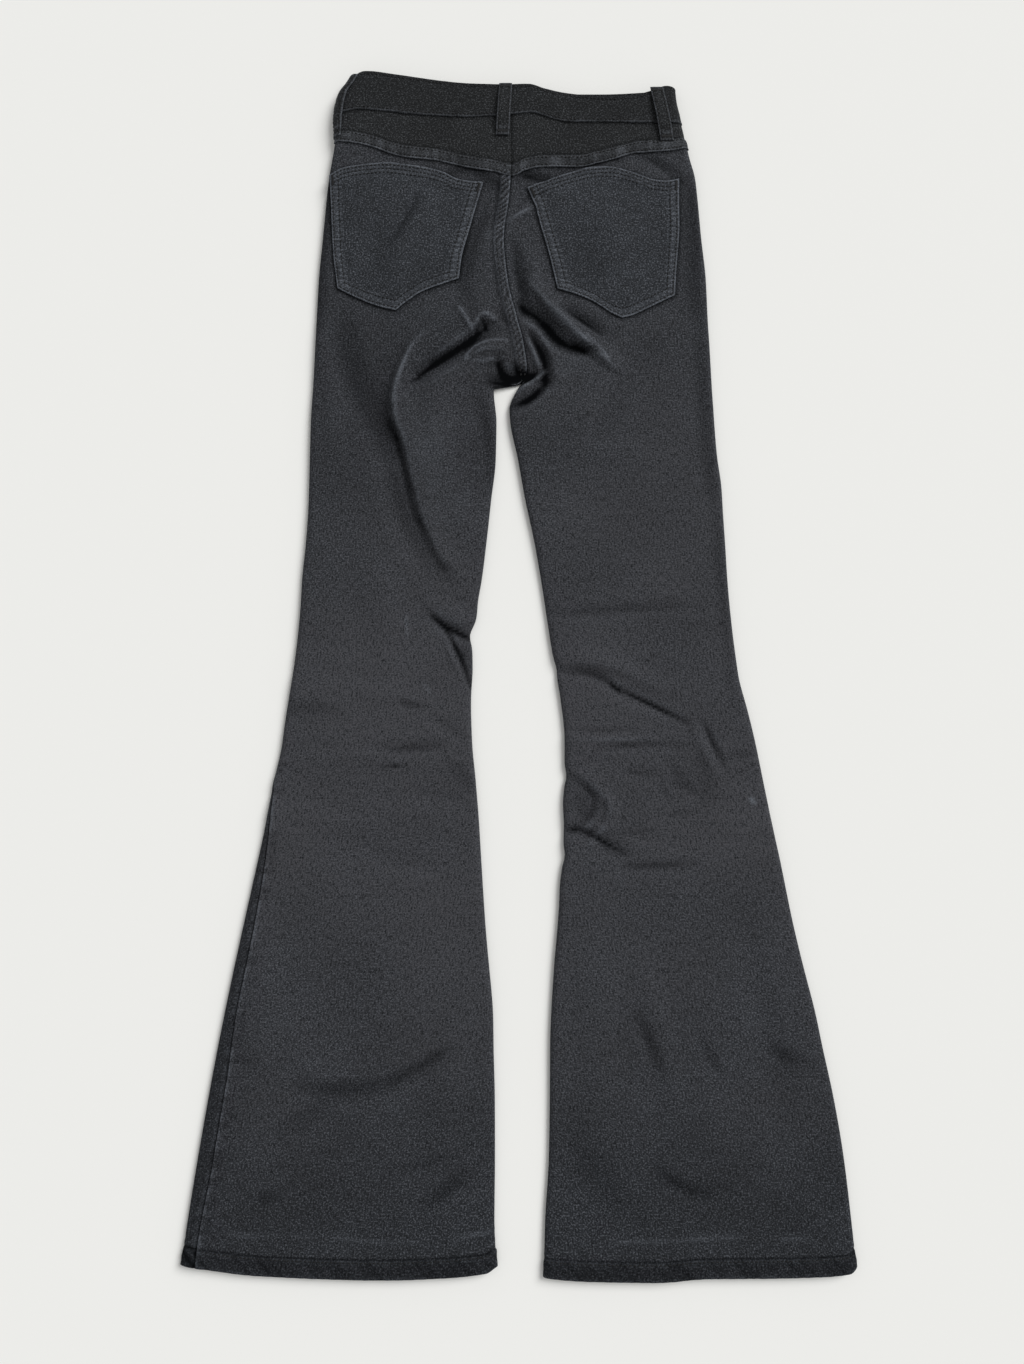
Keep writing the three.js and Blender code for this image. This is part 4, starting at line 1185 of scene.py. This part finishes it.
def yoke(side):
    look = yokeLook

    def place(u, v):
        y = np.full(u.shape, 485.0)
        for _ in range(6):
            along = u * ringLength(side, y, True)
            x = ringPoint(side, along, y)[:, 0]
            y = lerp(yokeSeam(x), bandSeam(x) + look["underBand"], v)
        along = u * ringLength(side, y, True)
        over = y - yokeSeam(x)
        under = bandSeam(x) - y
        felled = smooth((look["felledWidth"] - over) / 1.8)
        ripple = look["pucker"] * softNoise(x, x * 0, 4.4, 1, 14)
        out = look["restRise"] + felled * (look["felledRise"] - look["restRise"] + 0.5 * ripple)
        out = out + ripple * bell(over - look["felledWidth"] - 2, 4)
        out = out - 0.3 * (bell(over - 2, 0.9) + bell(over - 9.4, 0.9)) + 0.8 * ripple * bell(under, 6)
        wear = 0.85 * bell(over, 1.0) + 0.60 * bell(over - look["felledWidth"] + 0.4, 1.0)
        wear = wear * (0.75 + 0.5 * softNoise(x, y, 9, 4, 15)) + 0.22 * felled
        wear = wear + 0.40 * felled * np.clip(ripple / look["pucker"], 0, 1)
        # painted shade under the band's edge, beside the felled band and in its pucker troughs
        deep = 0.7 * bell(under, 1.8) + 0.4 * bell(over - look["felledWidth"] - 1.6, 1.6)
        deep = deep + 0.25 * felled * np.clip(-ripple / look["pucker"], 0, 1)
        # painted shadow along the centre edge
        if side == "right":
            deep = deep + 0.7 * bell(x - innerEdge("right", y), 2)
        # painted shade in the hollows of the folds
        relief = crests(x, y)
        deep = deep + np.clip((-relief - 0.5) / 2.4, 0, 0.6)
        flat = np.stack((along, y), axis=-1)
        return {"points": skin(side, along, y, out), "flat": flat, "wear": wear, "deep": deep}

    columns = towardsViewer(side, evenLines(look["columns"]))
    piece = layCloth(f"{side}Yoke", columns, evenLines(look["rows"]), place, garment["denim"])
    declare(piece, f"yoke_{side}", "denim_band")


for side in ("left", "right"):
    yoke(side)
print("5. yokes laid")

# Waistband: one folded strip from the buttonhole end round the back to the button end, which laps inside

bandLook = {
    "cut": (0.700, 0.039),
    "cloth": 2.4,
    "backRise": 1.35,
    "frontRise": 0.8,
    "lap": 30.0,
    "rows": 26,
    "perSide": 84,
    "below": 64,
    "pucker": 0.36,
    "layered": -2.1,
    "roundRim": 0.7,
    "lowRow": 2.4,
    "topRow": 3.2,
}


def bandStations(look):
    # side, share of the underside, share of the top, millimetres beside it, how far out
    front, back, layered = look["frontRise"], look["backRise"], look["layered"]
    rows = []
    for share in np.linspace(1, 0, look["below"], endpoint=False):
        rows.append((0, share, 0, 0.2 if share == 1 else 0, front))
    for share in np.linspace(0, 1, look["perSide"]):
        rows.append((0, 0, share, 0, lerp(front, back, float(smooth(share * 12)))))
    for share in np.linspace(1, 0, look["perSide"])[1:]:
        rows.append((1, 0, share, 0, lerp(front, back, float(smooth(share * 12)))))
    for share in np.linspace(0, 1, look["below"])[1:]:
        rows.append((1, share, 0, 16 * share, front))
    for beside in (10, 6, 3):
        rows.append((1, 1, 0, beside, lerp(layered, front, float(smooth((beside - 3) / 11)))))
    for beside in np.linspace(2, look["lap"], 14):
        rows.append((0, 1, 0, beside, layered))
    return np.array(rows, float)


def waistband(look):
    stations = bandStations(look)

    def place(u, v):
        k = u.astype(int)
        half, under, over, beside, rise = stations[k].T
        isLeft = half == 0
        y = np.full(u.shape, 530.0)
        for _ in range(8):
            alongLeft = over * ringLength("left", y, True) - under * ringLength("left", y, False) + beside
            alongRight = over * ringLength("right", y, True) - under * ringLength("right", y, False) + beside
            onLeft, onRight = ringPoint("left", alongLeft, y), ringPoint("right", alongRight, y)
            x = np.where(isLeft, onLeft[:, 0], onRight[:, 0])
            below = under > 0
            seam = np.where(below, frontBandSeam(x), bandSeam(x))
            edge = np.where(below, frontBandTop(x), bandTop(x))
            near = smooth(over * 14)
            seam = np.where(below, seam, lerp(frontBandSeam(x), seam, near))
            edge = np.where(below, edge, lerp(frontBandTop(x), edge, near))
            y = lerp(seam, edge, v)
        up = y - seam
        down = edge - y
        ripple = look["pucker"] * softNoise(x, x * 0 + 3, 4.6, 1, 17)
        wave = 0.45 * softNoise(x, y, 38, 24, 18) * np.where(under > 0, 0, 1)
        out = rise + wave + ripple * (bell(up - 4, 5) + 0.6 * bell(down - 4, 4))
        out = out - 0.32 * bell(up - look["lowRow"], 0.9) - 0.25 * bell(down - look["topRow"], 0.9)
        out = out - 0.5 * smooth((1.6 - down) / 1.6)
        out = np.where(under > 0, rise, out)
        wear = 0.62 * bell(up, 1.1) + 0.12 * bell(down, 1.0) + 0.10 * bell(up - 2.4, 2.4)
        wear = wear * (0.7 + 0.5 * softNoise(x, y, 10, 5, 19))
        # painted shade along the top edge, and a slightly darker tone all over
        deep = 0.30 * bell(down, 3.0) + 0.10
        points = np.where(isLeft[:, None], skin("left", alongLeft, y, out), skin("right", alongRight, y, out))
        run = np.where(isLeft, alongLeft, 340 - alongRight)
        return {"points": points, "flat": np.stack((run, y), axis=-1), "wear": wear, "deep": deep}

    columns, rows = panelLines(len(stations)), evenLines(look["rows"])
    piece = layCloth("waistbandStrip", columns, rows, place, look["cloth"], look["roundRim"])
    declare(piece, "waistband", "denim_band")


waistband(bandLook)
print("6. waistband laid")

# Back pockets: each side of the patch is a curve through its own points, from the left or from the foot

pocketLook = {
    "left": {"cut": (0.150, 0.147), "area": 0.0169},
    "right": {"cut": (0.148, 0.152), "area": 0.0166},
    "columns": 96,
    "rows": 98,
    "rise": 1.35,
    "borderWidth": 10.0,
    "borderRise": 0.5,
    "mouthHem": 12.0,
    "mouthRise": 0.85,
    "slack": 0.7,
    "pucker": 0.36,
    "rowsFromEdge": (2.2, 8.6),
    "mouthRows": (2.2, 6.0, 9.8),
    "barPitch": 5.2,
    "barWear": 0.75,
    "roundRim": 0.35,
}
# painted shade along creases on the pockets
creases = table("fromX fromY viaX viaY toX toY half tone", [
    (-94, 432, -108, 403, -124, 380, 7, 0.34),
    (-120, 400, -126, 370, -122, 344, 16, 0.10),
    (60, 420, 66, 380, 74, 346, 18, 0.10),
])


def edgeCurve(points, corner=None):
    # place along the edge from 0 to 1, with the corner at one half where there is one
    spots = np.array(points, float)
    steps = np.linalg.norm(np.diff(spots, axis=0), axis=1)
    run = np.concatenate(([0], np.cumsum(steps)))
    if corner is None:
        run = run / run[-1]
        parts = [(run, spots)]
    else:
        run = np.where(run <= run[corner], 0.5 * run / run[corner],
                       0.5 + 0.5 * (run - run[corner]) / (run[-1] - run[corner]))
        parts = [(run[:corner + 1], spots[:corner + 1]), (run[corner:], spots[corner:])]
    curves = [[curve(places, values[:, axis]) for axis in (0, 1)] for places, values in parts]

    def at(t):
        first = np.stack([curves[0][axis](t) for axis in (0, 1)], axis=-1)
        if corner is None:
            return first
        second = np.stack([curves[1][axis](t) for axis in (0, 1)], axis=-1)
        return np.where((t <= 0.5)[..., None], first, second)

    return at


def pocketPatch(settings):
    mouth, foot = edgeCurve(settings["mouth"]), edgeCurve(settings["foot"], settings["tip"])
    nearLeft, nearRight = edgeCurve(settings["nearLeft"]), edgeCurve(settings["nearRight"])
    corners = [np.array(settings[name][end], float) for name, end in
               (("foot", 0), ("foot", -1), ("mouth", 0), ("mouth", -1))]

    def at(u, v):
        a, b = u[..., None], v[..., None]
        ruled = (1 - b) * foot(u) + b * mouth(u) + (1 - a) * nearLeft(v) + a * nearRight(v)
        lower = (1 - a) * (1 - b) * corners[0] + a * (1 - b) * corners[1]
        return ruled - lower - (1 - a) * b * corners[2] - a * b * corners[3]

    def sizes(u, v):
        zero, one = u * 0, u * 0 + 1
        width = np.linalg.norm(at(one, v) - at(zero, v), axis=-1)
        height = np.linalg.norm(at(u, one) - at(u, zero), axis=-1)
        return width, height

    return at, sizes


def pocketRise(look, u, v, width, height):
    sideways = np.minimum(u, 1 - u) * width
    fromFoot = v * height
    fromMouth = (1 - v) * height
    fromSeam = np.minimum(sideways, fromFoot * 0.9)
    border = smooth((look["borderWidth"] - fromSeam) / 1.6)
    mouth = smooth((look["mouthHem"] - fromMouth) / 1.4)
    out = look["rise"] + look["borderRise"] * border * (1 - mouth) + look["mouthRise"] * mouth
    slack = smooth(sideways / 45) * smooth(fromFoot / 45)
    return out + look["slack"] * slack, border, mouth, fromSeam, fromMouth


def backPocket(side):
    look = pocketLook
    at, sizes = pocketPatch(pocketEdges[side])

    def place(u, v):
        spots = at(u, v)
        x, y = spots[:, 0], spots[:, 1]
        width, height = sizes(u, v)
        out, border, mouth, fromSeam, fromMouth = pocketRise(look, u, v, width, height)
        ripple = look["pucker"] * softNoise(x * 0.9 + 5, y * 0.9, 4.6, 4.6, 23)
        out = out + ripple * (bell(fromSeam - 5, 6) + 0.7 * bell(fromMouth - 6, 7))
        for row in look["rowsFromEdge"]:
            out = out - 0.28 * bell(fromSeam - row, 0.9) * (1 - mouth)
        for row in look["mouthRows"]:
            out = out - 0.26 * bell(fromMouth - row, 0.9)
        edge = np.minimum(fromSeam, fromMouth)
        wear = 1.0 * bell(edge, 1.0) + 0.10 * bell(fromSeam - look["borderWidth"], 1.3) * (1 - mouth)
        wear = wear + 0.10 * bell(fromMouth - look["mouthHem"], 1.2) + 0.16 * border + 0.22 * mouth
        bars = np.clip(np.sin(2 * math.pi * (y + 1.4 * ripple) / look["barPitch"]) - 0.1, 0, 1)
        sides = (0.5 - np.abs(u - 0.5)) * width < look["borderWidth"] + 3
        wear = wear + look["barWear"] * bars * sides * bell(fromSeam - 7.5, 3.6) * (1 - mouth)
        wear = wear + 0.06 * smooth(fromSeam / 30)
        # painted shade in the stitch rows, in the hollows of folds and along the creases
        deep = 0.40 * bell(fromSeam - look["rowsFromEdge"][1], 0.9) * (1 - mouth)
        for row in look["mouthRows"]:
            deep = deep + 0.3 * bell(fromMouth - row, 0.7)
        relief = crests(x, y)
        deep = deep + np.clip((-relief - 0.4) / 2.4, 0, 0.5)
        deep = deep + np.clip(addBows(creases, "tone", x, y), 0, 1)
        return {"points": topSkin(x, y, out), "flat": spots, "wear": wear, "deep": deep}

    columns, rows = evenLines(look["columns"]), evenLines(look["rows"])
    piece = layCloth(f"{side}BackPocket", columns, rows, place, garment["denim"], look["roundRim"])
    declare(piece, f"back_pocket_{side}", "denim")


for side in ("left", "right"):
    backPocket(side)
print("7. back pockets laid")

# Belt loops: folded strips, tacked at both ends and standing free between them

loopLook = {
    "centre": {"top": (-11.7, 543.5), "low": (-14.8, 491.5)},
    "right": {"top": (134.5, 539.5), "low": (144.2, 485.5)},
    "left": {"topY": 553.0, "lowY": 490.5, "roundFrom": -1.2, "bend": 0.8},
    "width": 12.8,
    "cloth": 1.5,
    "belly": 2.2,
    "crown": 0.35,
    "lowRise": 0.6,
    "bandRise": 1.6,
    "columns": 12,
    "rows": 46,
    "stitchIn": 2.2,
    "cut": (0.0128, 0.056),
    "edgeCut": (0.0128, 0.064),
    "roundRim": 0.3,
    "frontPlace": 78.0,
    "frontLength": 52.0,
    "frontCloth": 1.8,
}


def loopRise(look, v, lowRise):
    # v runs from the low end to the top one
    share = 1 - v
    free = np.sin(math.pi * np.clip((share - 0.08) / 0.84, 0, 1))
    return lerp(look["bandRise"], lowRise, smooth((share - 0.72) / 0.2)) + look["belly"] * free


def loopForm(look, u, v):
    fromEdge = np.minimum(u, 1 - u) * look["width"]
    length = look["frontLength"]
    fromEnd = np.minimum(v, 1 - v) * length
    out = look["crown"] * smooth(fromEdge / 1.4) - 0.25 * bell(fromEdge - look["stitchIn"], 0.7)
    out = out + 0.22 * softNoise(v * length, u * 4, 3.6, 1.0, 27)
    wear = 0.75 * bell(fromEdge, 0.9) + 0.6 * bell(fromEnd, 1.2) + 0.5 * bell(v * length - 7, 1.4)
    # painted shade in the stitch lines and at the low end of the loop
    deep = 0.5 * bell(fromEdge - look["stitchIn"], 0.6) + 0.4 * bell(v * length - 4, 1.3)
    return out, wear, deep


def backLoop(name, node, settings, look):
    (topX, topY), (lowX, lowY) = settings["top"], settings["low"]

    def place(u, v):
        x = lerp(lowX, topX, v) + (u - 0.5) * look["width"]
        y = lerp(lowY, topY, v)
        out, wear, deep = loopForm(look, u, v)
        points = topSkin(x, y, loopRise(look, v, look["lowRise"]) + look["cloth"] + out)
        return {"points": points, "flat": np.stack((x, y), axis=-1), "wear": wear, "deep": deep}

    columns, rows = evenLines(look["columns"]), evenLines(look["rows"])
    piece = layCloth(name, columns, rows, place, look["cloth"], look["roundRim"])
    declare(piece, node, "denim_band")


def edgeLoop(name, node, settings, look):
    def place(u, v):
        y = lerp(settings["lowY"], settings["topY"], v)
        along = settings["roundFrom"] + u * look["width"] * settings["bend"]
        out, wear, deep = loopForm(look, u, v)
        rise = loopRise(look, v, look["lowRise"]) * 0.7 + 0.4 + look["cloth"]
        flat = np.stack((along, y), axis=-1)
        return {"points": skin("left", along, y, rise + out), "flat": flat, "wear": wear, "deep": deep}

    columns, rows = evenLines(look["columns"]), evenLines(look["rows"])
    piece = layCloth(name, columns, rows, place, look["cloth"], look["roundRim"])
    declare(piece, node, "denim_band")


def frontLoop(side, look):
    middle = float(innerEdge(side, np.array(520.0))) - inward[side] * look["frontPlace"]
    top = float(frontBandTop(middle)) - 1

    def place(u, v):
        x = middle + (0.5 - u) * look["width"]
        y = top - look["frontLength"] * (1 - v)
        points = np.stack((x, y, u * 0), axis=-1)
        _, wear, deep = loopForm(look, u, v)
        return {"points": points, "flat": np.stack((x, y), axis=-1), "wear": wear, "deep": deep}

    piece = layCloth(f"{side}FrontLoop", evenLines(6), evenLines(24), place, look["frontCloth"], 0.4)
    declare(piece, f"belt_loop_front_{side}", "denim_band")


backLoop("beltLoopCentre", "belt_loop_back_centre", loopLook["centre"], loopLook)
backLoop("beltLoopRight", "belt_loop_back_right", loopLook["right"], loopLook)
edgeLoop("beltLoopLeft", "belt_loop_back_left", loopLook["left"], loopLook)
for side in ("left", "right"):
    frontLoop(side, loopLook)
print("8. belt loops sewn on")

# Hidden inside: pocket facings, the fly shield and the button

facingLook = {"reach": 14.0, "beyond": 100.0, "below": 1.7, "cut": (0.100, 0.092), "area": 0.0068}
shieldLook = {
    "width": 44.0, "length": 150.0, "above": 2.9, "narrow": 0.35, "cut": (0.044, 0.150), "area": 0.0060,
}
buttonLook = {"radius": 8.5, "height": 1.8, "rim": 0.5, "dish": 0.35, "turns": 40}


def pocketFacing(side, look):
    def place(u, v):
        y = np.full(u.shape, 460.0)
        for _ in range(6):
            along = -lerp(look["beyond"], 0.15, u)
            x = ringPoint(side, along, y)[:, 0]
            seam = frontBandSeam(x) - 0.15
            foot = frontEdge(side, x, frontLegLook["scoopWidth"] + 2 * look["reach"],
                             frontLegLook["scoopDepth"] + look["reach"])
            y = lerp(np.minimum(foot, seam - 1), seam, v)
        points = skin(side, along, y, -look["below"])
        return {"points": points, "flat": np.stack((along, y), axis=-1), "wear": 0.05, "deep": 0.2}

    columns = towardsViewer(side, evenLines(40))
    piece = layCloth(f"{side}PocketFacing", columns, evenLines(36), place, garment["denim"])
    declare(piece, f"pocket_facing_{side}", "denim")


def flyShield(look):
    def place(u, v):
        top = float(frontBandSeam(-7.0)) - 2
        down = 1 - v
        y = top - down * look["length"]
        narrow = 1 - look["narrow"] * smooth((down - 0.7) / 0.3)
        x = innerEdge("left", y) + (u - 0.5) * look["width"] * narrow
        points = np.stack((x, y, lowerHeight(y) + look["above"]), axis=-1)
        edge = np.minimum(u, 1 - u) * look["width"]
        flat = np.stack((x, y), axis=-1)
        return {"points": points, "flat": flat, "wear": 0.4 * bell(edge, 1.2), "deep": 0.2}

    piece = layCloth("flyShield", evenLines(24), evenLines(60), place, garment["denim"])
    declare(piece, "fly_shield", "denim")


def waistButton(look):
    # a round head turned on its axis, with a dished face
    rim, radius, height = look["rim"], look["radius"], look["height"]
    profile = [(0, look["dish"]), (radius * 0.62, look["dish"]), (radius * 0.72, 0), (radius - rim, 0),
               (radius - 0.15, 0.15), (radius, rim), (radius, height - rim), (radius - rim, height),
               (0, height)]
    form = bmesh.new()
    spots = [form.verts.new((x, 0, z)) for x, z in profile]
    edges = [form.edges.new(pair) for pair in zip(spots, spots[1:])]
    bmesh.ops.spin(form, geom=spots + edges, axis=(0, 0, 1), cent=(0, 0, 0), angle=math.tau,
                   steps=look["turns"], use_merge=True)
    bmesh.ops.remove_doubles(form, verts=form.verts, dist=0.001)
    bmesh.ops.recalc_face_normals(form, faces=form.faces)
    bmesh.ops.translate(form, verts=form.verts, vec=(garment["buttonX"], garment["buttonY"], 0))
    bmesh.ops.translate(form, verts=form.verts, vec=rowShift)
    bmesh.ops.scale(form, verts=form.verts, vec=(0.001, 0.001, 0.001))
    mesh = bpy.data.meshes.new("waistButton")
    form.to_mesh(mesh)
    form.free()
    mesh.shade_smooth()
    mesh.set_sharp_from_angle(angle=math.radians(35))
    declare(addObject("waistButton", mesh), "waist_button", "tack_metal")


for side in ("left", "right"):
    pocketFacing(side, facingLook)
flyShield(shieldLook)
waistButton(buttonLook)
print("9. hidden pieces placed")

# Stitching: rows of single stitches, each a small capsule half sunk into the cloth

stitchLook = {
    "pitch": 3.7,
    "halfLength": 1.3,
    "halfWidth": 0.60,
    "halfHeight": 0.30,
    "sides": 6,
    "rings": 4,
    "proud": 0.06,
    "tackPitch": 0.75,
}
stitchGroups = {}


def stitchForm(look):
    form = bmesh.new()
    bmesh.ops.create_uvsphere(form, u_segments=look["sides"], v_segments=look["rings"], radius=1)
    bmesh.ops.rotate(form, verts=form.verts, cent=(0, 0, 0), matrix=Matrix.Rotation(math.radians(90), 3, "Y"))
    bmesh.ops.scale(form, verts=form.verts, vec=(look["halfLength"], look["halfWidth"], look["halfHeight"]))
    spots = np.array([vert.co[:] for vert in form.verts])
    faces = [[vert.index for vert in face.verts] for face in form.faces]
    form.free()
    return spots, faces


stitchSpots, stitchFaces = stitchForm(stitchLook)


def stitchAlong(group, base, tip, pitch=None, turned=False):
    # base lies on the cloth and tip is the same row moved 1 mm further out
    look = stitchLook
    pitch = pitch or look["pitch"]
    steps = np.linalg.norm(np.diff(base, axis=0), axis=1)
    run = np.concatenate(([0], np.cumsum(steps)))
    count = max(1, int(run[-1] / pitch))
    middle = (np.arange(count) + 0.5) * run[-1] / count

    def at(points, where):
        return np.stack([np.interp(where, run, points[:, axis]) for axis in range(3)], axis=-1)

    centre = at(base, middle)
    along = at(base, middle + 0.8) - at(base, middle - 0.8)
    along /= np.linalg.norm(along, axis=1, keepdims=True)
    up = at(tip, middle) - centre
    across = np.cross(up, along)
    across /= np.linalg.norm(across, axis=1, keepdims=True)
    up = np.cross(along, across)
    if turned:
        along, across = across, -along
    placed = stitchSpots[None, :, 0, None] * along[:, None] + stitchSpots[None, :, 1, None] * across[:, None]
    placed = placed + stitchSpots[None, :, 2, None] * up[:, None] + centre[:, None]
    stitchGroups.setdefault(group, []).append(placed.reshape(-1, 3))


def stitchOnTop(group, x, y, out, **settings):
    out = out + stitchLook["proud"]
    stitchAlong(group, topSkin(x, y, out), topSkin(x, y, out + 1), **settings)


def stitchOnRing(group, side, along, y, out, **settings):
    out = out + stitchLook["proud"]
    stitchAlong(group, skin(side, along, y, out), skin(side, along, y, out + 1), **settings)


def acrossTop(startX, endX, lineAt, out, group, step=1.2):
    x = np.arange(startX, endX, step)
    stitchOnTop(group, x, lineAt(x), np.broadcast_to(out, x.shape))


def sewSeams():
    band, felled = bandLook["backRise"], yokeLook["felledRise"]
    for startX, endX in ((-172, -19), (-5, 10), (14, 152)):
        acrossTop(startX, endX, lambda x: bandSeam(x) + bandLook["lowRow"], band, "waistbandStitches")
    for startX, endX in ((-157, -19), (-5, 127)):
        acrossTop(startX, endX, lambda x: bandTop(x) - bandLook["topRow"], band, "waistbandStitches")
    for above in yokeLook["stitchRows"]:
        acrossTop(-175, -10, lambda x: yokeSeam(x) + above, felled, "yokeStitches")
        acrossTop(-3, 160, lambda x: yokeSeam(x) + above, felled, "yokeStitches")
    y = np.arange(252.0, 449.0, 1.2)
    for inside in backLegLook["seatRows"]:
        along = ringLength("left", y, True) - inside
        stitchOnRing("seatStitches", "left", along, y, backLegLook["felledRise"] + y * 0)
    for side in ("left", "right"):
        start = seamRoll(np.array(-537.0)) + 3 if side == "left" else 6.0
        along = np.arange(float(start), float(ringLength(side, np.array(-537.0), True)) - 4, 1.2)
        y = np.full(along.shape, -537.0)
        for _ in range(4):
            y = hemLine(ringPoint(side, along, y)[:, 0]) + garment["hemDepth"] - 1.2
        stitchOnRing("hemStitches", side, along, y, backLegLook["hemRise"] + along * 0)


def sewPocket(side):
    look = pocketLook
    at, sizes = pocketPatch(pocketEdges[side])
    group = f"{side}PocketStitches"

    def row(u, v):
        spots = at(u, v)
        width, height = sizes(u, v)
        out = pocketRise(look, u, v, width, height)[0]
        stitchOnTop(group, spots[:, 0], spots[:, 1], out)

    for inside in look["rowsFromEdge"]:
        v = np.linspace(0.5 * inside / 110, 0.985, 120)
        width, _ = sizes(v * 0, v)
        row(inside / width, v)
        row(1 - inside / width, v)
        u = np.linspace(inside / 118, 1 - inside / 118, 130)
        _, height = sizes(u, u * 0)
        row(u, inside / 0.9 / height)
    for below in look["mouthRows"]:
        u = np.linspace(0.02, 0.98, 130)
        _, height = sizes(u, u * 0)
        row(u, 1 - below / height)
    for corner in (0.02, 0.98):
        v = np.linspace(0.9, 0.985, 20)
        spots = at(v * 0 + corner, v)
        width, height = sizes(v * 0 + corner, v)
        out = pocketRise(look, v * 0 + corner, v, width, height)[0]
        stitchOnTop(group, spots[:, 0], spots[:, 1], out, pitch=stitchLook["tackPitch"], turned=True)


def sewLoop(settings, look, group):
    (topX, topY), (lowX, lowY) = settings["top"], settings["low"]
    v = np.linspace(0.04, 0.96, 60)
    rise = loopRise(look, v, look["lowRise"]) + look["cloth"]
    for aside in (look["stitchIn"] / look["width"] - 0.5, 0.5 - look["stitchIn"] / look["width"]):
        x = lerp(lowX, topX, v) + aside * look["width"]
        stitchOnTop(group, x, lerp(lowY, topY, v), rise + 0.2)
    for place in (0.07, 0.94):
        x = lerp(lowX, topX, place) + np.linspace(-0.4, 0.4, 20) * look["width"]
        out = float(loopRise(look, np.array(place), look["lowRise"])) + look["cloth"] + look["crown"]
        y = np.full(x.shape, lerp(lowY, topY, place))
        stitchOnTop(group, x, y, out + x * 0, pitch=stitchLook["tackPitch"], turned=True)


def sewEdgeLoop(settings, look, group):
    v = np.linspace(0.04, 0.96, 60)
    y = lerp(settings["lowY"], settings["topY"], v)
    rise = loopRise(look, v, look["lowRise"]) * 0.7 + 0.4 + look["cloth"]
    for beside in (look["stitchIn"], look["width"] - look["stitchIn"]):
        along = settings["roundFrom"] + beside * settings["bend"] + v * 0
        stitchOnRing(group, "left", along, y, rise + 0.2)


def buildStitches():
    for group, parts in stitchGroups.items():
        spots = toMetres(np.concatenate(parts))
        count = len(spots) // len(stitchSpots)
        starts = range(0, count * len(stitchSpots), len(stitchSpots))
        faces = [[start + index for index in face] for start in starts for face in stitchFaces]
        mesh = bpy.data.meshes.new(group)
        mesh.from_pydata(spots.tolist(), [], faces)
        mesh.shade_smooth()
        declare(addObject(group, mesh), None, "thread")
        print("   ", group, count, "stitches")


sewSeams()
for side in ("left", "right"):
    sewPocket(side)
sewLoop(loopLook["centre"], loopLook, "loopStitches")
sewLoop(loopLook["right"], loopLook, "loopStitches")
sewEdgeLoop(loopLook["left"], loopLook, "loopStitches")
buildStitches()
print("10. stitched")

# Studio: a pale floor, an even sky and one soft sun from the upper right

studio = {
    "floorSide": 8.0,
    "floorColour": (0.86, 0.86, 0.835),
    "skyColour": (1.0, 1.0, 1.0),
    "skyStrength": 0.46,
    "sunFrom": (1.0, 0.75, 1.0),
    "sunSoftness": 0.6,
    "sunStrength": 2.6,
}


def addFloor(settings):
    form = bmesh.new()
    bmesh.ops.create_grid(form, x_segments=1, y_segments=1, size=settings["floorSide"] / 2)
    mesh = bpy.data.meshes.new("floor")
    form.to_mesh(mesh)
    form.free()
    floor = addObject("floor", mesh)
    material, make = newMaterial("floor")
    surface = make("ShaderNodeBsdfPrincipled", {
        "Base Color": colour(settings["floorColour"]), "Roughness": 0.9, "Specular IOR Level": 0.1,
    })
    make("ShaderNodeOutputMaterial", {"Surface": surface.outputs[0]})
    mesh.materials.append(material)


def addLights(settings):
    world = bpy.data.worlds.new("studioSky")
    world.use_nodes = True
    sky = world.node_tree.nodes["Background"]
    sky.inputs["Color"].default_value = colour(settings["skyColour"])
    sky.inputs["Strength"].default_value = settings["skyStrength"]
    bpy.context.scene.world = world
    bpy.context.scene.view_settings.view_transform = "Standard"
    data = bpy.data.lights.new("softSun", "SUN")
    data.angle = settings["sunSoftness"]
    data.energy = settings["sunStrength"]
    lamp = addObject("softSun", data)
    lamp.location = settings["sunFrom"]
    lamp.rotation_euler = Vector(settings["sunFrom"]).to_track_quat("Z", "Y").to_euler()


addFloor(studio)
addLights(studio)
print("11. floor and lights set")
